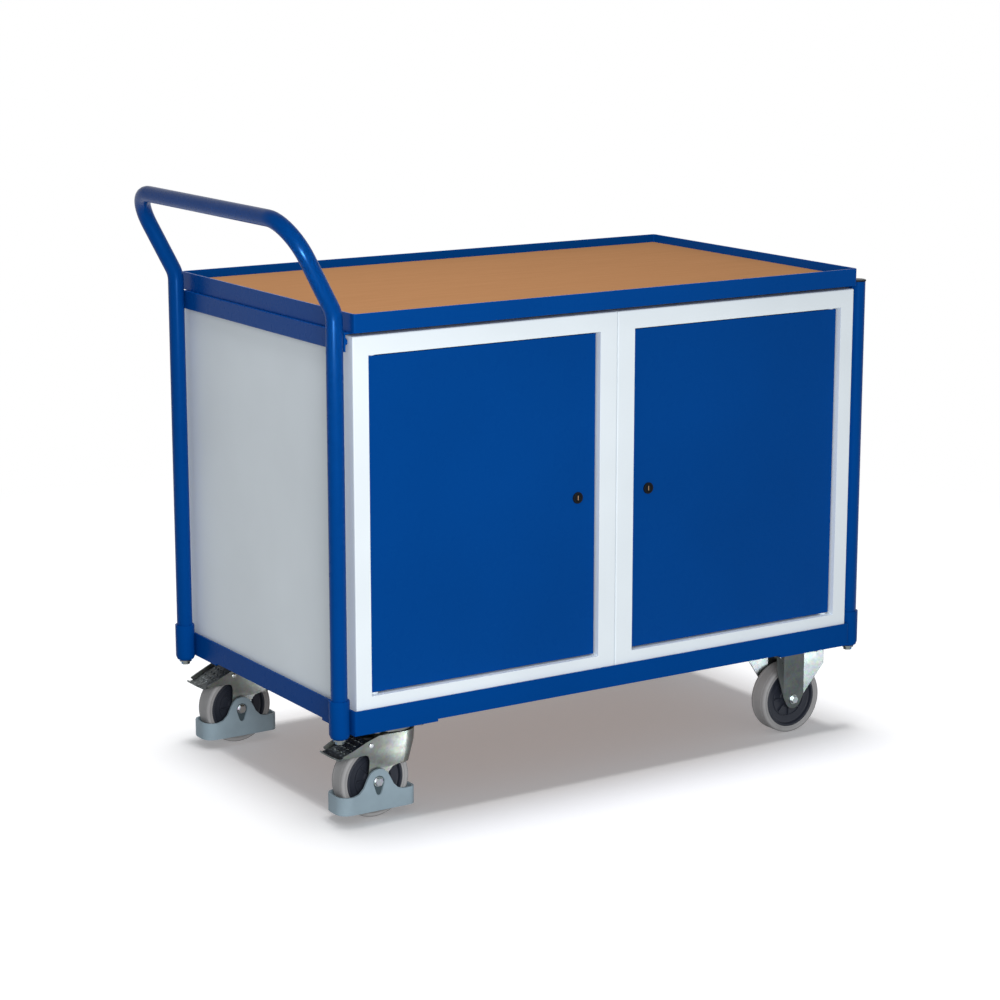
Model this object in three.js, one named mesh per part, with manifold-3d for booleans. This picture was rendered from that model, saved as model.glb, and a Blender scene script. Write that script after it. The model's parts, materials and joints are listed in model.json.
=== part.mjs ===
// Workshop trolley: two lockable cabinets between a bottom and a top platform,
// with a bent push handle, two swivel casters with brakes and two fixed casters.
// Millimetres, +Z up. The handle is at -X and the doors face -Y. The origin is on the floor,
// in the middle of the whole trolley seen from above.

import * as THREE from 'three';
import { mergeVertices } from 'three/addons/utils/BufferGeometryUtils.js';
import Module from 'manifold-3d';

const wasm = await Module();
wasm.setup();

// Fits and overruns
const clearance = 0.3; // between two pieces that touch or run in each other
const overrun = 4; // how far a cutting body runs past the face that it cuts
const mergeTolerance = 0.0001; // vertices closer than this are one

// Facets round a full circle
const wheelSides = 24;
const hubSides = 12;
const tubeSides = 12;
const mediumSides = 12;
const coarseSides = 8;
const hexSides = 6;
const cornerSegments = 1; // of a small rounded corner, doubled by the shape
const bendSegments = 2; // of a larger corner, doubled by the shape
const arcSegments = 3; // of an arc, doubled by the shape

// Platforms
const deckLength = 1000;
const deckWidth = 600;
const deckAngleHeight = 30;
const deckBoardThickness = 12;
const baseProudEnd = 5; // of the bottom platform, past each end of the deck
const baseSetBack = 2; // of the bottom platform, behind each long side of the deck
const baseAngleHeight = 36;
const baseBoardThickness = 18;
const angleWall = 3;
const platformCornerRadius = 6;
const boardCornerRadius = 3;
const deckGap = 6; // between the cabinets and the underside of the deck frame
const cornerPlateThickness = 4;
const cornerPlateLength = 154;
const cornerPlateDepth = 108;

// Tubes and sockets
const tubeRadius = 13.45;
const tubeWall = 2;
const tubeInset = 24; // from the long side of the deck to the middle of a tube
const socketWall = 3.1;
const socketLength = 64;
const socketRise = 17.2; // above the rim of the bottom platform
const socketTaper = 8; // height of the rounded bottom
const socketMouthRadius = 9.5;
const socketTaperSteps = 2;
const weldDepth = 1; // how far a socket sinks into the end of the bottom frame
const spigotLength = 14; // stands up in the end of the tube
const postDrop = 26; // from the rim of the deck down to the end of a far post
const capHeadHeight = 2.8;
const capHeadProud = 0.8;
const capPlugLength = 15;

// Push handle
const handleLean = THREE.MathUtils.degToRad(27.7);
const handleReach = 163.7; // along the leaning part, to the middle of the grip
const handleBendRadius = 45;
const handleCornerRadius = 66;
const bendSteps = 2;
const cornerSteps = 4;

// Cross rails under the ends of the deck
const railHeight = 30;
const railEndProud = 5; // past the middle of the tubes

// Screws and bolts
const boltRadius = 4;
const boltHeadRadius = 7.5;
const boltHeadHeight = 5.3;
const nutHeight = 6.5;
const nutThreadProud = 2.5;
const washerRadius = 10.8;
const washerThickness = 2.4;
const screwRadius = 3;
const screwHeadRadius = 5.7;
const screwHeadHeight = 3.6;
const railScrewLength = 11;

// Cabinets
const cabinetEndGap = 1.5; // to the end of the deck
const cabinetSetBack = 7; // behind each long side of the deck
const cabinetHeight = 613;
const sheet = 1.5;
const outerStile = 28;
const innerStile = 34;
const topRail = 31;
const bottomRail = 34;
const frameLip = 30; // depth of the folded edge round the door opening
const doorStopWidth = 12; // of the flange behind the free edge of the door
const shelfSheet = 1.2;
const shelfLip = 20;
const shelfSideGap = 1;
const shelfFrontGap = 22;
const shelfBackGap = 6;
const shelfHeightShare = 0.5;
const clipReach = 12;
const clipHeight = 14;
const clipWidth = 20;
const clipPlaceShare = 0.3; // of the cabinet depth, each side of the middle

// Doors and hinges
const doorRecess = 10; // behind the front of the cabinet
const doorGap = 3;
const doorFold = 18;
const hingeInset = 9; // pin to the hinge edge of the door
const hingeBehindFront = 6;
const hingePinRadius = 3;
const hingePinHeadRadius = 5;
const hingePinHeadHeight = 2;
const hingePinReach = 9; // inside the door
const hingeCollarRadius = 7;

// Cam locks
const lockInset = 34; // from the free edge of the door
const lockBezelRadius = 9.5;
const lockBezelHeight = 2.2;
const lockBarrelRadius = 8;
const lockBarrelLength = 20.5;
const lockNutRadius = 12;
const lockNutHeight = 4;
const lockPlugRadius = 6;
const lockTailRadius = 3;
const lockTailLength = 4;
const keySlotWidth = 1.6;
const keySlotHeight = 8;
const keySlotDepth = 6;
const camThickness = 2;
const camWidth = 14;
const camReach = 42;

// Wheels
const wheelRadius = 62.5;
const wheelWidth = 37.5;
const tyreDepth = 11;
const tyreShoulder = 4;
const hubRimWall = 5;
const hubWebHalf = 9;
const hubRimHalf = 16.5;
const hubBossRadius = 16;
const hubBossHalf = 20;
const sleeveRadius = 6.5;

// Casters
const casterInset = 96; // from the end of the bottom frame to the middle of a caster
const casterSideInset = 58;
const headRoom = 30.7; // from the top of the wheel to the top of the caster plate
const casterPlateLength = 105;
const casterPlateWidth = 85;
const casterPlateThickness = 3.5;
const casterPlateCornerRadius = 8;
const casterHoleSpacingX = 80;
const casterHoleSpacingY = 60;
const forkWall = 2.5;
const legGap = 2; // between the hub and the inside of a fork leg

// Fixed fork
const legFlatHalf = 22.5;
const legWingHalf = 52;
const legWingDrop = 26; // height of the full width below the caster plate
const legBossRadius = 17;

// Swivel fork
const swivelOffset = 36.5; // from the swivel axis back to the axle
const raceGap = 9.2; // between the caster plate and the top of the fork
const ballRadius = 3;
const ballCircleRadius = 28;
const ballCount = 8;
const cageHalfWidth = 2;
const cageThickness = 1.2;
const raceHalfWidth = 4;
const raceSkirtRadius = 37;
const raceSkirtWall = 2;
const raceSkirtGap = 1.2;
const kingpinRadius = 6;
const kingpinHeadRadius = 10;
const kingpinHeadHeight = 1.8;
const kingpinNutRadius = 11;
const kingpinNutHeight = 7;
const noseReach = 38;
const noseShoulderReach = 37;
const noseKneeReach = 30;
const noseRoundShare = 0.77; // of the half width of the nose, taken by each of its rounded corners
const headHalfWidth = 37;
const shoulderHalfWidth = 35.5;
const shoulderDrop = 20; // below the top of the fork
const kneeRise = 22; // above the axle
const noseRise = 23; // lower edge of the nose above the axle
const forkBossRadius = 18;
const noseFootReach = 38.5; // where the edge of the nose turns down to the leg, before the axle
const legFrontPull = 20.5;
const legBackReach = 15.5;
const wingReach = 68; // behind the axle
const wingLowRise = 49.5;
const wingTipRise = 53.5;
const wingApexReach = 24; // where the upper edge of the wing turns up to the head
const wingApexRise = 73.5;
const wingRootReach = 26;
const wingShoulderReach = 8;
const wingChamfer = 2.5;

// Brake pedal
const pedalPinBehind = 17.5; // pin behind the axle
const pedalPinRise = 65.5; // pin above the axle
const pedalPinRadius = 3;
const pedalPinHeadRadius = 4.2;
const pedalPinHeadHeight = 1.6;
const pedalHalfWidth = 28.5;
const pedalWall = 2.5;
const pedalTreadThickness = 3;
const pedalReach = 65; // from the pin back to the tip
const pedalFrontRise = 5.5; // top of the tread above the pin
const pedalSlope = THREE.MathUtils.degToRad(24.5); // of the tread, down to the back
const pedalDipReach = 45; // where the tread starts to curl up, behind the pin
const pedalTipDrop = 11; // of the tip, below the pin
const pedalTipRadius = 14; // of the rounded tip, seen from above
const pedalEarRadius = 7;
const pedalSkirtDepth = 7; // of the folded sides, below the tread
const shoeBehind = 12; // brake shoe behind the pin
const shoeRadius = 2.5;
const shoeHalfWidth = 14;
const shoeWebHalf = 3;
const brakeGap = 3; // between the shoe and the tyre with the brake off

// Foot guard
const guardHalfLength = 70;
const guardSideWall = 4.5;
const guardEndWall = 3.5;
const guardRearRadius = 20;
const guardFrontRadius = 12;
const guardGround = 14;
const guardBandHeight = 30;
const guardHumpRadius = 21.5;
const guardHumpJoint = THREE.MathUtils.degToRad(19.5); // where the hump meets its flares
const guardFlareReach = 46;
const guardFlarePull = 30;
const guardRecessRadius = 10.5;
const guardRecessTailRadius = 5;
const guardRecessTail = 17.5; // from the axle down to the middle of the tail
const guardRecessDepth = 2.5;

// Heights, from the floor up
const axleHeight = wheelRadius;
const casterTop = axleHeight + wheelRadius + headRoom;
const casterPlateBottom = casterTop - casterPlateThickness;
const forkTop = casterPlateBottom - raceGap;
const cornerPlateBottom = casterTop + clearance;
const baseBottom = cornerPlateBottom + cornerPlateThickness;
const baseTop = baseBottom + baseAngleHeight;
const baseBoardBottom = baseBottom + angleWall + clearance;
const baseBoardTop = baseBoardBottom + baseBoardThickness;
const cabinetBottom = baseBoardTop + clearance;
const cabinetTop = cabinetBottom + cabinetHeight;
const deckBottom = cabinetTop + deckGap;
const deckTop = deckBottom + deckAngleHeight;
const railTop = deckBottom - clearance;
const socketTop = baseTop + socketRise;
const socketBottom = socketTop - socketLength;
const tubeBottom = socketBottom + socketTaper + socketWall;
const postTop = deckTop - postDrop;

// Places, from the middle of the platforms
const baseLength = deckLength + 2 * baseProudEnd;
const baseWidth = deckWidth - 2 * baseSetBack;
const cabinetWidth = deckLength / 2 - cabinetEndGap - clearance;
const cabinetDepth = deckWidth - 2 * cabinetSetBack;
const socketRadius = tubeRadius + clearance + socketWall;
const tubeX = baseLength / 2 - weldDepth + socketRadius;
const tubeY = deckWidth / 2 - tubeInset;
const railFaceX = tubeX - tubeRadius - clearance;
const casterX = baseLength / 2 - casterInset;
const casterY = baseWidth / 2 - casterSideInset;
const legInner = hubBossHalf + legGap;
const legOuter = legInner + forkWall;
const gripX = tubeX + handleReach * Math.sin(handleLean);
const gripHeight = deckTop + handleReach * Math.cos(handleLean);

// Solids from three.js geometries, and geometries from solids

function toSolid(geometry) {
  const bare = geometry.clone();
  bare.deleteAttribute('normal');
  bare.deleteAttribute('uv');
  const merged = mergeVertices(bare, mergeTolerance);
  const vertProperties = new Float32Array(merged.attributes.position.array);
  const triangles = trianglesOf(merged);
  const solid = manifoldOf(vertProperties, triangles);
  if (solid.volume() > 0) return solid;
  return manifoldOf(vertProperties, triangles.map(([a, b, c]) => [a, c, b]));
}

function trianglesOf(geometry) {
  const index = geometry.index.array;
  const triangles = [];
  for (let i = 0; i < index.length; i += 3) {
    const [a, b, c] = [index[i], index[i + 1], index[i + 2]];
    if (a !== b && b !== c && c !== a) triangles.push([a, b, c]);
  }
  return triangles;
}

function manifoldOf(vertProperties, triangles) {
  const triVerts = new Uint32Array(triangles.flat());
  return new wasm.Manifold(new wasm.Mesh({ numProp: 3, vertProperties, triVerts }));
}

function toGeometry(solid) {
  const mesh = solid.getMesh();
  const geometry = new THREE.BufferGeometry();
  geometry.setAttribute('position', new THREE.BufferAttribute(new Float32Array(mesh.vertProperties), 3));
  geometry.setIndex(new THREE.BufferAttribute(new Uint32Array(mesh.triVerts), 1));
  geometry.computeVertexNormals();
  return geometry;
}

function joined(solids) {
  return solids.reduce((all, solid) => all.add(solid));
}

function cut(body, tools) {
  return tools.reduce((rest, tool) => rest.subtract(tool), body);
}

// A block between two corners
function block(x0, x1, y0, y1, z0, z1) {
  const geometry = new THREE.BoxGeometry(x1 - x0, y1 - y0, z1 - z0);
  geometry.translate((x0 + x1) / 2, (y0 + y1) / 2, (z0 + z1) / 2);
  return toSolid(geometry);
}

// A round or hexagonal bar along an axis; place gives its two other coordinates
function rod(axis, radius, place, from, to, sides) {
  const geometry = new THREE.CylinderGeometry(radius, radius, to - from, sides);
  geometry.translate(0, (from + to) / 2, 0);
  return toSolid(standAlong(geometry, axis, place));
}

function pipe(axis, outer, inner, place, from, to, sides) {
  const bore = rod(axis, inner, place, from - overrun, to + overrun, sides);
  return rod(axis, outer, place, from, to, sides).subtract(bore);
}

// A profile of [radius, height] pairs turned round an axis
function turned(axis, profile, place, sides, start = 0) {
  const points = profile.map(([radius, height]) => new THREE.Vector2(radius, height));
  const geometry = new THREE.LatheGeometry(points, sides, start);
  return toSolid(standAlong(geometry, axis, place));
}

// Turns a geometry that stands along +Y so that it runs along +X, +Y or +Z, then moves it
function standAlong(geometry, axis, [a, b]) {
  if (axis === 'x') geometry.rotateZ(-Math.PI / 2).translate(0, a, b);
  if (axis === 'y') geometry.translate(a, 0, b);
  if (axis === 'z') geometry.rotateX(Math.PI / 2).translate(a, b, 0);
  return geometry;
}

// An outline in X and Y, raised from z0 to z1
function raised(shape, z0, z1, curveSegments = cornerSegments) {
  const geometry = new THREE.ExtrudeGeometry(shape, { depth: z1 - z0, bevelEnabled: false, curveSegments });
  return toSolid(geometry.translate(0, 0, z0));
}

// An outline in X and Z, carried across from y0 to y1
function across(shape, y0, y1, curveSegments = cornerSegments) {
  const geometry = new THREE.ExtrudeGeometry(shape, { depth: y1 - y0, bevelEnabled: false, curveSegments });
  return toSolid(geometry.rotateX(Math.PI / 2).translate(0, y1, 0));
}

// An outline in X and Y that changes size from level to level. What lies at +X is scaled by
// the level's reach, what lies at -X by its tail, and Y by its half width.
function lofted(shape, levels) {
  const steps = levels.length - 1;
  const geometry = new THREE.ExtrudeGeometry(shape, {
    depth: steps, steps, bevelEnabled: false, curveSegments: arcSegments,
  });
  const place = geometry.attributes.position;
  for (let i = 0; i < place.count; i += 1) {
    const level = levels[Math.round(place.getZ(i))];
    const x = place.getX(i);
    place.setXYZ(i, x > 0 ? x * level.reach : x * level.tail, place.getY(i) * level.half, level.z);
  }
  return toSolid(geometry);
}

function roundedRectangle(x0, x1, y0, y1, radiusLow, radiusHigh = radiusLow) {
  const shape = new THREE.Shape();
  const quarter = Math.PI / 2;
  shape.absarc(x1 - radiusHigh, y0 + radiusHigh, radiusHigh, -quarter, 0);
  shape.absarc(x1 - radiusHigh, y1 - radiusHigh, radiusHigh, 0, quarter);
  shape.absarc(x0 + radiusLow, y1 - radiusLow, radiusLow, quarter, Math.PI);
  shape.absarc(x0 + radiusLow, y0 + radiusLow, radiusLow, Math.PI, Math.PI + quarter);
  return shape;
}

// A polyline with rounded corners. Its stations are the ends of the straights and the steps
// of the arcs, each with its exact direction, so a sweep bends only where the tube bends.
class RoundedPath extends THREE.Curve {
  constructor(corners, radii, steps) {
    super();
    this.stations = [];
    corners.forEach((corner, i) => this.addCorner(corners, corner, i, radii[i], steps[i]));
  }

  addCorner(corners, corner, i, radius, steps) {
    const before = i > 0 ? corner.clone().sub(corners[i - 1]).normalize() : null;
    const after = i < corners.length - 1 ? corners[i + 1].clone().sub(corner).normalize() : null;
    if (!before || !after) {
      this.stations.push({ point: corner.clone(), tangent: (before || after).clone() });
      return;
    }
    const turn = before.angleTo(after);
    const start = corner.clone().addScaledVector(before, -radius * Math.tan(turn / 2));
    const inward = after.clone().addScaledVector(before, -before.dot(after)).normalize();
    for (let step = 0; step <= steps; step += 1) {
      const angle = (turn * step) / steps;
      const point = start.clone().addScaledVector(before, radius * Math.sin(angle));
      point.addScaledVector(inward, radius * (1 - Math.cos(angle)));
      const tangent = before.clone().multiplyScalar(Math.cos(angle));
      tangent.addScaledVector(inward, Math.sin(angle));
      this.stations.push({ point, tangent });
    }
  }

  station(t) {
    return this.stations[Math.round(t * (this.stations.length - 1))];
  }

  getPoint(t, target = new THREE.Vector3()) {
    return target.copy(this.station(t).point);
  }

  getTangent(t, target = new THREE.Vector3()) {
    return target.copy(this.station(t).tangent);
  }

  getUtoTmapping(u) {
    return u;
  }
}

function sweptTube(path, outer, inner, sides) {
  const ring = new THREE.Shape();
  ring.absarc(0, 0, outer, 0, 2 * Math.PI);
  const bore = new THREE.Path();
  bore.absarc(0, 0, inner, 0, 2 * Math.PI, true);
  ring.holes.push(bore);
  return toSolid(new THREE.ExtrudeGeometry(ring, {
    steps: path.stations.length - 1, extrudePath: path, curveSegments: sides / 2,
  }));
}

// Finishes, one material for each mesh

function finish(color, roughness, metalness) {
  return () => new THREE.MeshStandardMaterial({ color, roughness, metalness });
}

const bluePaint = finish(0x00428c, 0.4, 0.1);
const greyPaint = finish(0xcfd4d6, 0.45, 0.1);
const beech = finish(0xb0825c, 0.5, 0);
const zinc = finish(0xb4babd, 0.35, 0.9);
const blackPlastic = finish(0x15161a, 0.5, 0);
const guardPlastic = finish(0x869aa4, 0.55, 0);
const tyreRubber = finish(0x9a9b98, 0.75, 0);
const hubPlastic = finish(0x2f343b, 0.5, 0);
const lockMetal = finish(0xc9c6bd, 0.25, 1);

function piece(name, solid, material) {
  const mesh = new THREE.Mesh(toGeometry(solid), material());
  mesh.name = name;
  return mesh;
}

// The four corners of a rectangle round the origin
function corners(halfX, halfY) {
  return [[-halfX, -halfY], [-halfX, halfY], [halfX, -halfY], [halfX, halfY]];
}

// Platforms: a welded ring of angle steel, its rim standing above the board that lies in it

function angleRing(length, width, z0, height) {
  const [halfX, halfY] = [length / 2, width / 2];
  const outline = roundedRectangle(-halfX, halfX, -halfY, halfY, platformCornerRadius);
  const [insideX, insideY] = [halfX - angleWall, halfY - angleWall];
  const inside = roundedRectangle(-insideX, insideX, -insideY, insideY, boardCornerRadius);
  const [openX, openY] = [halfX - height, halfY - height];
  return cut(raised(outline, z0, z0 + height), [
    raised(inside, z0 + angleWall, z0 + height + overrun),
    block(-openX, openX, -openY, openY, z0 - overrun, z0 + height),
  ]);
}

function boardOutline(length, width) {
  const [halfX, halfY] = [length / 2 - angleWall - clearance, width / 2 - angleWall - clearance];
  return roundedRectangle(-halfX, halfX, -halfY, halfY, boardCornerRadius);
}

function deckFrame() {
  return angleRing(deckLength, deckWidth, deckBottom, deckAngleHeight);
}

function deckBoard() {
  const bottom = deckBottom + angleWall + clearance;
  return raised(boardOutline(deckLength, deckWidth), bottom, bottom + deckBoardThickness);
}

// Where the casters are bolted on, from the middle of the platforms
function casterHoles(z0, z1) {
  const radius = boltRadius + clearance;
  return corners(casterX, casterY).flatMap(([x, y]) => (
    corners(casterHoleSpacingX / 2, casterHoleSpacingY / 2).map(([dx, dy]) => (
      rod('z', radius, [x + dx, y + dy], z0, z1, hexSides)
    ))
  ));
}

// The bottom frame with what is welded or bolted to it: a plate over each caster, and a
// socket with its bolt for each tube
function bottomFrame() {
  const ring = angleRing(baseLength, baseWidth, baseBottom, baseAngleHeight);
  const sockets = corners(tubeX, tubeY).flatMap((place) => [
    turned('z', socketProfile(), place, tubeSides),
    ...socketBolt(place),
  ]);
  const body = joined([ring, ...cornerPlates(), ...sockets]);
  return cut(body, casterHoles(cornerPlateBottom - overrun, baseBottom + angleWall + overrun));
}

function bottomBoard() {
  return raised(boardOutline(baseLength, baseWidth), baseBoardBottom, baseBoardTop);
}

function cornerPlates() {
  const [endX, endY] = [baseLength / 2, baseWidth / 2];
  return corners(1, 1).map(([sideX, sideY]) => {
    const xs = [sideX * endX, sideX * (endX - cornerPlateLength)].sort((a, b) => a - b);
    const ys = [sideY * endY, sideY * (endY - cornerPlateDepth)].sort((a, b) => a - b);
    return block(...xs, ...ys, cornerPlateBottom, baseBottom);
  });
}

// Sockets: short tubes welded to the ends of the bottom frame, drawn in round at the bottom

function socketProfile() {
  const bore = tubeRadius + clearance;
  const bottom = Array.from({ length: socketTaperSteps + 1 }, (_, i) => {
    const turn = (Math.PI / 2) * (i / socketTaperSteps);
    const drawnIn = (socketRadius - socketMouthRadius) * (1 - Math.sin(turn));
    return [socketRadius - drawnIn, socketBottom + socketTaper * (1 - Math.cos(turn))];
  });
  return [
    [0, socketBottom],
    ...bottom,
    [socketRadius, socketTop],
    [bore, socketTop],
    [bore, tubeBottom - clearance],
    [0, tubeBottom - clearance],
  ];
}

// The bolt and washer under a socket, and the spigot that they draw down inside it
function socketBolt(place) {
  const seat = socketBottom - washerThickness;
  const spigotRadius = tubeRadius - tubeWall - clearance;
  return [
    rod('z', washerRadius, place, seat, socketBottom, mediumSides),
    rod('z', boltHeadRadius, place, seat - boltHeadHeight, seat, hexSides),
    rod('z', spigotRadius, place, tubeBottom - clearance, tubeBottom + spigotLength, tubeSides),
  ];
}

// Tubes: the push handle is bent from one tube, the far posts are cut short under the deck

const railScrewHeight = railTop - railHeight / 2;

function railScrewHole(sideX, y) {
  const [from, to] = [railFaceX - angleWall - overrun, tubeX];
  const [x0, x1] = sideX < 0 ? [-to, -from] : [from, to];
  return rod('x', screwRadius + clearance, [y, railScrewHeight], x0, x1, coarseSides);
}

function handleBow() {
  const side = [
    new THREE.Vector3(-tubeX, -tubeY, tubeBottom),
    new THREE.Vector3(-tubeX, -tubeY, deckTop),
    new THREE.Vector3(-gripX, -tubeY, gripHeight),
  ];
  const mirrored = side.map(({ x, y, z }) => new THREE.Vector3(x, -y, z)).reverse();
  const radii = [0, handleBendRadius, handleCornerRadius];
  const steps = [0, bendSteps, cornerSteps];
  const path = new RoundedPath(
    [...side, ...mirrored],
    [...radii, ...[...radii].reverse()],
    [...steps, ...[...steps].reverse()],
  );
  const tube = sweptTube(path, tubeRadius, tubeRadius - tubeWall, tubeSides);
  return cut(tube, [-tubeY, tubeY].map((y) => railScrewHole(-1, y)));
}

function farPost(y) {
  const tube = pipe('z', tubeRadius, tubeRadius - tubeWall, [tubeX, y], tubeBottom, postTop, tubeSides);
  return tube.subtract(railScrewHole(1, y));
}

function postCap(y) {
  const [head, plug] = [tubeRadius + capHeadProud, tubeRadius - tubeWall - clearance];
  const seat = postTop + clearance;
  const profile = [
    [0, seat - capPlugLength],
    [plug, seat - capPlugLength],
    [plug, seat],
    [head, seat],
    [head, seat + capHeadHeight / 2],
    [plug, seat + capHeadHeight],
    [0, seat + capHeadHeight],
  ];
  return turned('z', profile, [tubeX, y], tubeSides);
}

// A cross rail: an angle with its flange under the deck, and with the two screws that hold its
// upright face to the tubes
function crossRail(sideX) {
  const halfLength = tubeY + railEndProud;
  const shape = new THREE.Shape([
    new THREE.Vector2(sideX * railFaceX, railTop),
    new THREE.Vector2(sideX * railFaceX, railTop - railHeight),
    new THREE.Vector2(sideX * (railFaceX - angleWall), railTop - railHeight),
    new THREE.Vector2(sideX * (railFaceX - angleWall), railTop - angleWall),
    new THREE.Vector2(sideX * (railFaceX - railHeight), railTop - angleWall),
    new THREE.Vector2(sideX * (railFaceX - railHeight), railTop),
  ]);
  return joined([across(shape, -halfLength, halfLength), ...railScrews(sideX)]);
}

function railScrews(sideX) {
  const seat = railFaceX - angleWall;
  const [head, tip] = [seat - screwHeadHeight, seat + railScrewLength];
  const span = (from, to) => (sideX < 0 ? [-to, -from] : [from, to]);
  return [-tubeY, tubeY].flatMap((y) => [
    rod('x', screwHeadRadius, [y, railScrewHeight], ...span(head, seat), hexSides),
    rod('x', screwRadius, [y, railScrewHeight], ...span(seat, tip), hexSides),
  ]);
}

// Cabinets: sheet-steel boxes with a folded frame round the door opening. A side of -1 is the
// left one, with its outer edge at -X, and 1 is the right one, its mirror image.

const cabinetCentreX = cabinetWidth / 2 + clearance;
const cabinetFront = -cabinetDepth / 2;
const outerEdge = cabinetCentreX + cabinetWidth / 2 - outerStile;
const innerEdge = cabinetCentreX - cabinetWidth / 2 + innerStile;
const openingBottom = cabinetBottom + bottomRail;
const openingTop = cabinetTop - topRail;
const lipBack = cabinetFront + frameLip;
const hingeX = outerEdge - doorGap - hingeInset;
const hingeY = cabinetFront + doorRecess + hingeBehindFront;
const doorFront = cabinetFront + doorRecess;
const doorBottom = openingBottom + doorGap;
const doorTop = openingTop - doorGap;
const lockX = innerEdge + doorGap + lockInset;
const lockHeight = (doorBottom + doorTop) / 2;

// A block given by its distances out from the middle plane, on one side
function sideBlock(side, inner, outer, y0, y1, z0, z1) {
  return side < 0 ? block(-outer, -inner, y0, y1, z0, z1) : block(inner, outer, y0, y1, z0, z1);
}

function hingeHoles(side, spans) {
  const radius = hingePinRadius + clearance;
  return spans.map(([z0, z1]) => rod('z', radius, [side * hingeX, hingeY], z0, z1, coarseSides));
}

function cabinet(side) {
  const [inner, outer] = [cabinetCentreX - cabinetWidth / 2, cabinetCentreX + cabinetWidth / 2];
  const back = cabinetDepth / 2;
  const box = sideBlock(side, inner, outer, cabinetFront, back, cabinetBottom, cabinetTop);
  const room = sideBlock(side, inner + sheet, outer - sheet, cabinetFront + sheet, back - sheet,
    cabinetBottom + sheet, cabinetTop - sheet);
  const lip = sideBlock(side, innerEdge - sheet, outerEdge + sheet, cabinetFront, lipBack,
    openingBottom - sheet, openingTop + sheet);
  const opening = sideBlock(
    side, innerEdge, outerEdge, cabinetFront - overrun, lipBack + overrun, openingBottom, openingTop,
  );
  const body = cut(box.subtract(room).add(lip), [
    opening,
    ...hingeHoles(side, [
      [openingBottom - sheet - overrun, openingBottom + overrun],
      [openingTop - overrun, openingTop + sheet + overrun],
    ]),
  ]);
  const doorStop = sideBlock(side, innerEdge - sheet, innerEdge + doorStopWidth, lipBack - sheet, lipBack,
    openingBottom - sheet, openingTop + sheet);
  return joined([body, doorStop, ...shelfClips(side)]);
}

const shelfBottom = openingBottom + (openingTop - openingBottom) * shelfHeightShare;

function shelf(side) {
  const halfWidth = cabinetWidth / 2 - sheet - shelfSideGap;
  const [y0, y1] = [lipBack + shelfFrontGap, cabinetDepth / 2 - sheet - shelfBackGap];
  const [x0, x1] = [side * cabinetCentreX - halfWidth, side * cabinetCentreX + halfWidth];
  const top = shelfBottom + shelfSheet;
  const body = block(x0, x1, y0, y1, top - shelfLip, top);
  return body.subtract(block(
    x0 - overrun, x1 + overrun, y0 + shelfSheet, y1 - shelfSheet, top - shelfLip - overrun, shelfBottom,
  ));
}

// Clips welded to the side walls, one under each corner of the shelf
function shelfClips(side) {
  const reach = cabinetWidth / 2 - sheet / 2;
  const top = shelfBottom - clearance;
  return corners(1, cabinetDepth * clipPlaceShare).map(([wallSide, y]) => {
    const wall = side * cabinetCentreX + wallSide * reach;
    const shape = new THREE.Shape([
      new THREE.Vector2(wall, top),
      new THREE.Vector2(wall - wallSide * clipReach, top),
      new THREE.Vector2(wall - wallSide * clipReach, top - sheet),
      new THREE.Vector2(wall, top - clipHeight),
    ]);
    return across(shape, y - clipWidth / 2, y + clipWidth / 2);
  });
}

// Hinges and doors

// A hinge pin: its head bears on the lip of the cabinet, its collar fills the gap and its end
// runs in the door. An end of 1 is at the top of the door and -1 at the bottom.
function hingePin(side, end) {
  const opening = end > 0 ? openingTop : openingBottom;
  const edge = end > 0 ? doorTop : doorBottom;
  const seat = opening + end * (sheet + clearance);
  const bar = (radius, from, to, sides) => (
    rod('z', radius, [side * hingeX, hingeY], Math.min(from, to), Math.max(from, to), sides)
  );
  return joined([
    bar(hingePinHeadRadius, seat, seat + end * hingePinHeadHeight, hexSides),
    bar(hingePinRadius, edge - end * hingePinReach, seat, coarseSides),
    bar(hingeCollarRadius, edge + end * clearance, opening - end * clearance, coarseSides),
  ]);
}

// A door: one sheet with its four edges folded back
function door(side) {
  const [inner, outer] = [innerEdge + doorGap, outerEdge - doorGap];
  const back = doorFront + doorFold;
  const tray = sideBlock(side, inner, outer, doorFront, back, doorBottom, doorTop);
  return cut(tray, [
    sideBlock(side, inner + sheet, outer - sheet, doorFront + sheet, back + overrun,
      doorBottom + sheet, doorTop - sheet),
    ...hingeHoles(side, [
      [doorBottom - overrun, doorBottom + sheet + overrun],
      [doorTop - sheet - overrun, doorTop + overrun],
    ]),
    rod('y', lockBarrelRadius + clearance, [side * lockX, lockHeight],
      doorFront - overrun, doorFront + sheet + overrun, mediumSides),
  ]);
}

// Cam locks: a housing with a bezel and a nut, a plug that the key turns, and a cam on its tail

const lockFace = doorFront - clearance - lockBezelHeight;
const lockBack = lockFace + lockBezelHeight + lockBarrelLength;
const lockBackWall = lockTailRadius; // closes the bore behind the plug

function lockHousing(side) {
  const place = [side * lockX, lockHeight];
  const nutFace = doorFront + sheet + clearance;
  const body = joined([
    rod('y', lockBezelRadius, place, lockFace, lockFace + lockBezelHeight, mediumSides),
    rod('y', lockBarrelRadius, place, lockFace, lockBack, coarseSides),
    rod('y', lockNutRadius, place, nutFace, nutFace + lockNutHeight, hexSides),
  ]);
  return cut(body, [
    rod('y', lockPlugRadius + clearance, place, lockFace - overrun, lockBack - lockBackWall, mediumSides),
    rod('y', lockTailRadius + clearance, place, lockFace, lockBack + overrun, coarseSides),
  ]);
}

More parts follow.
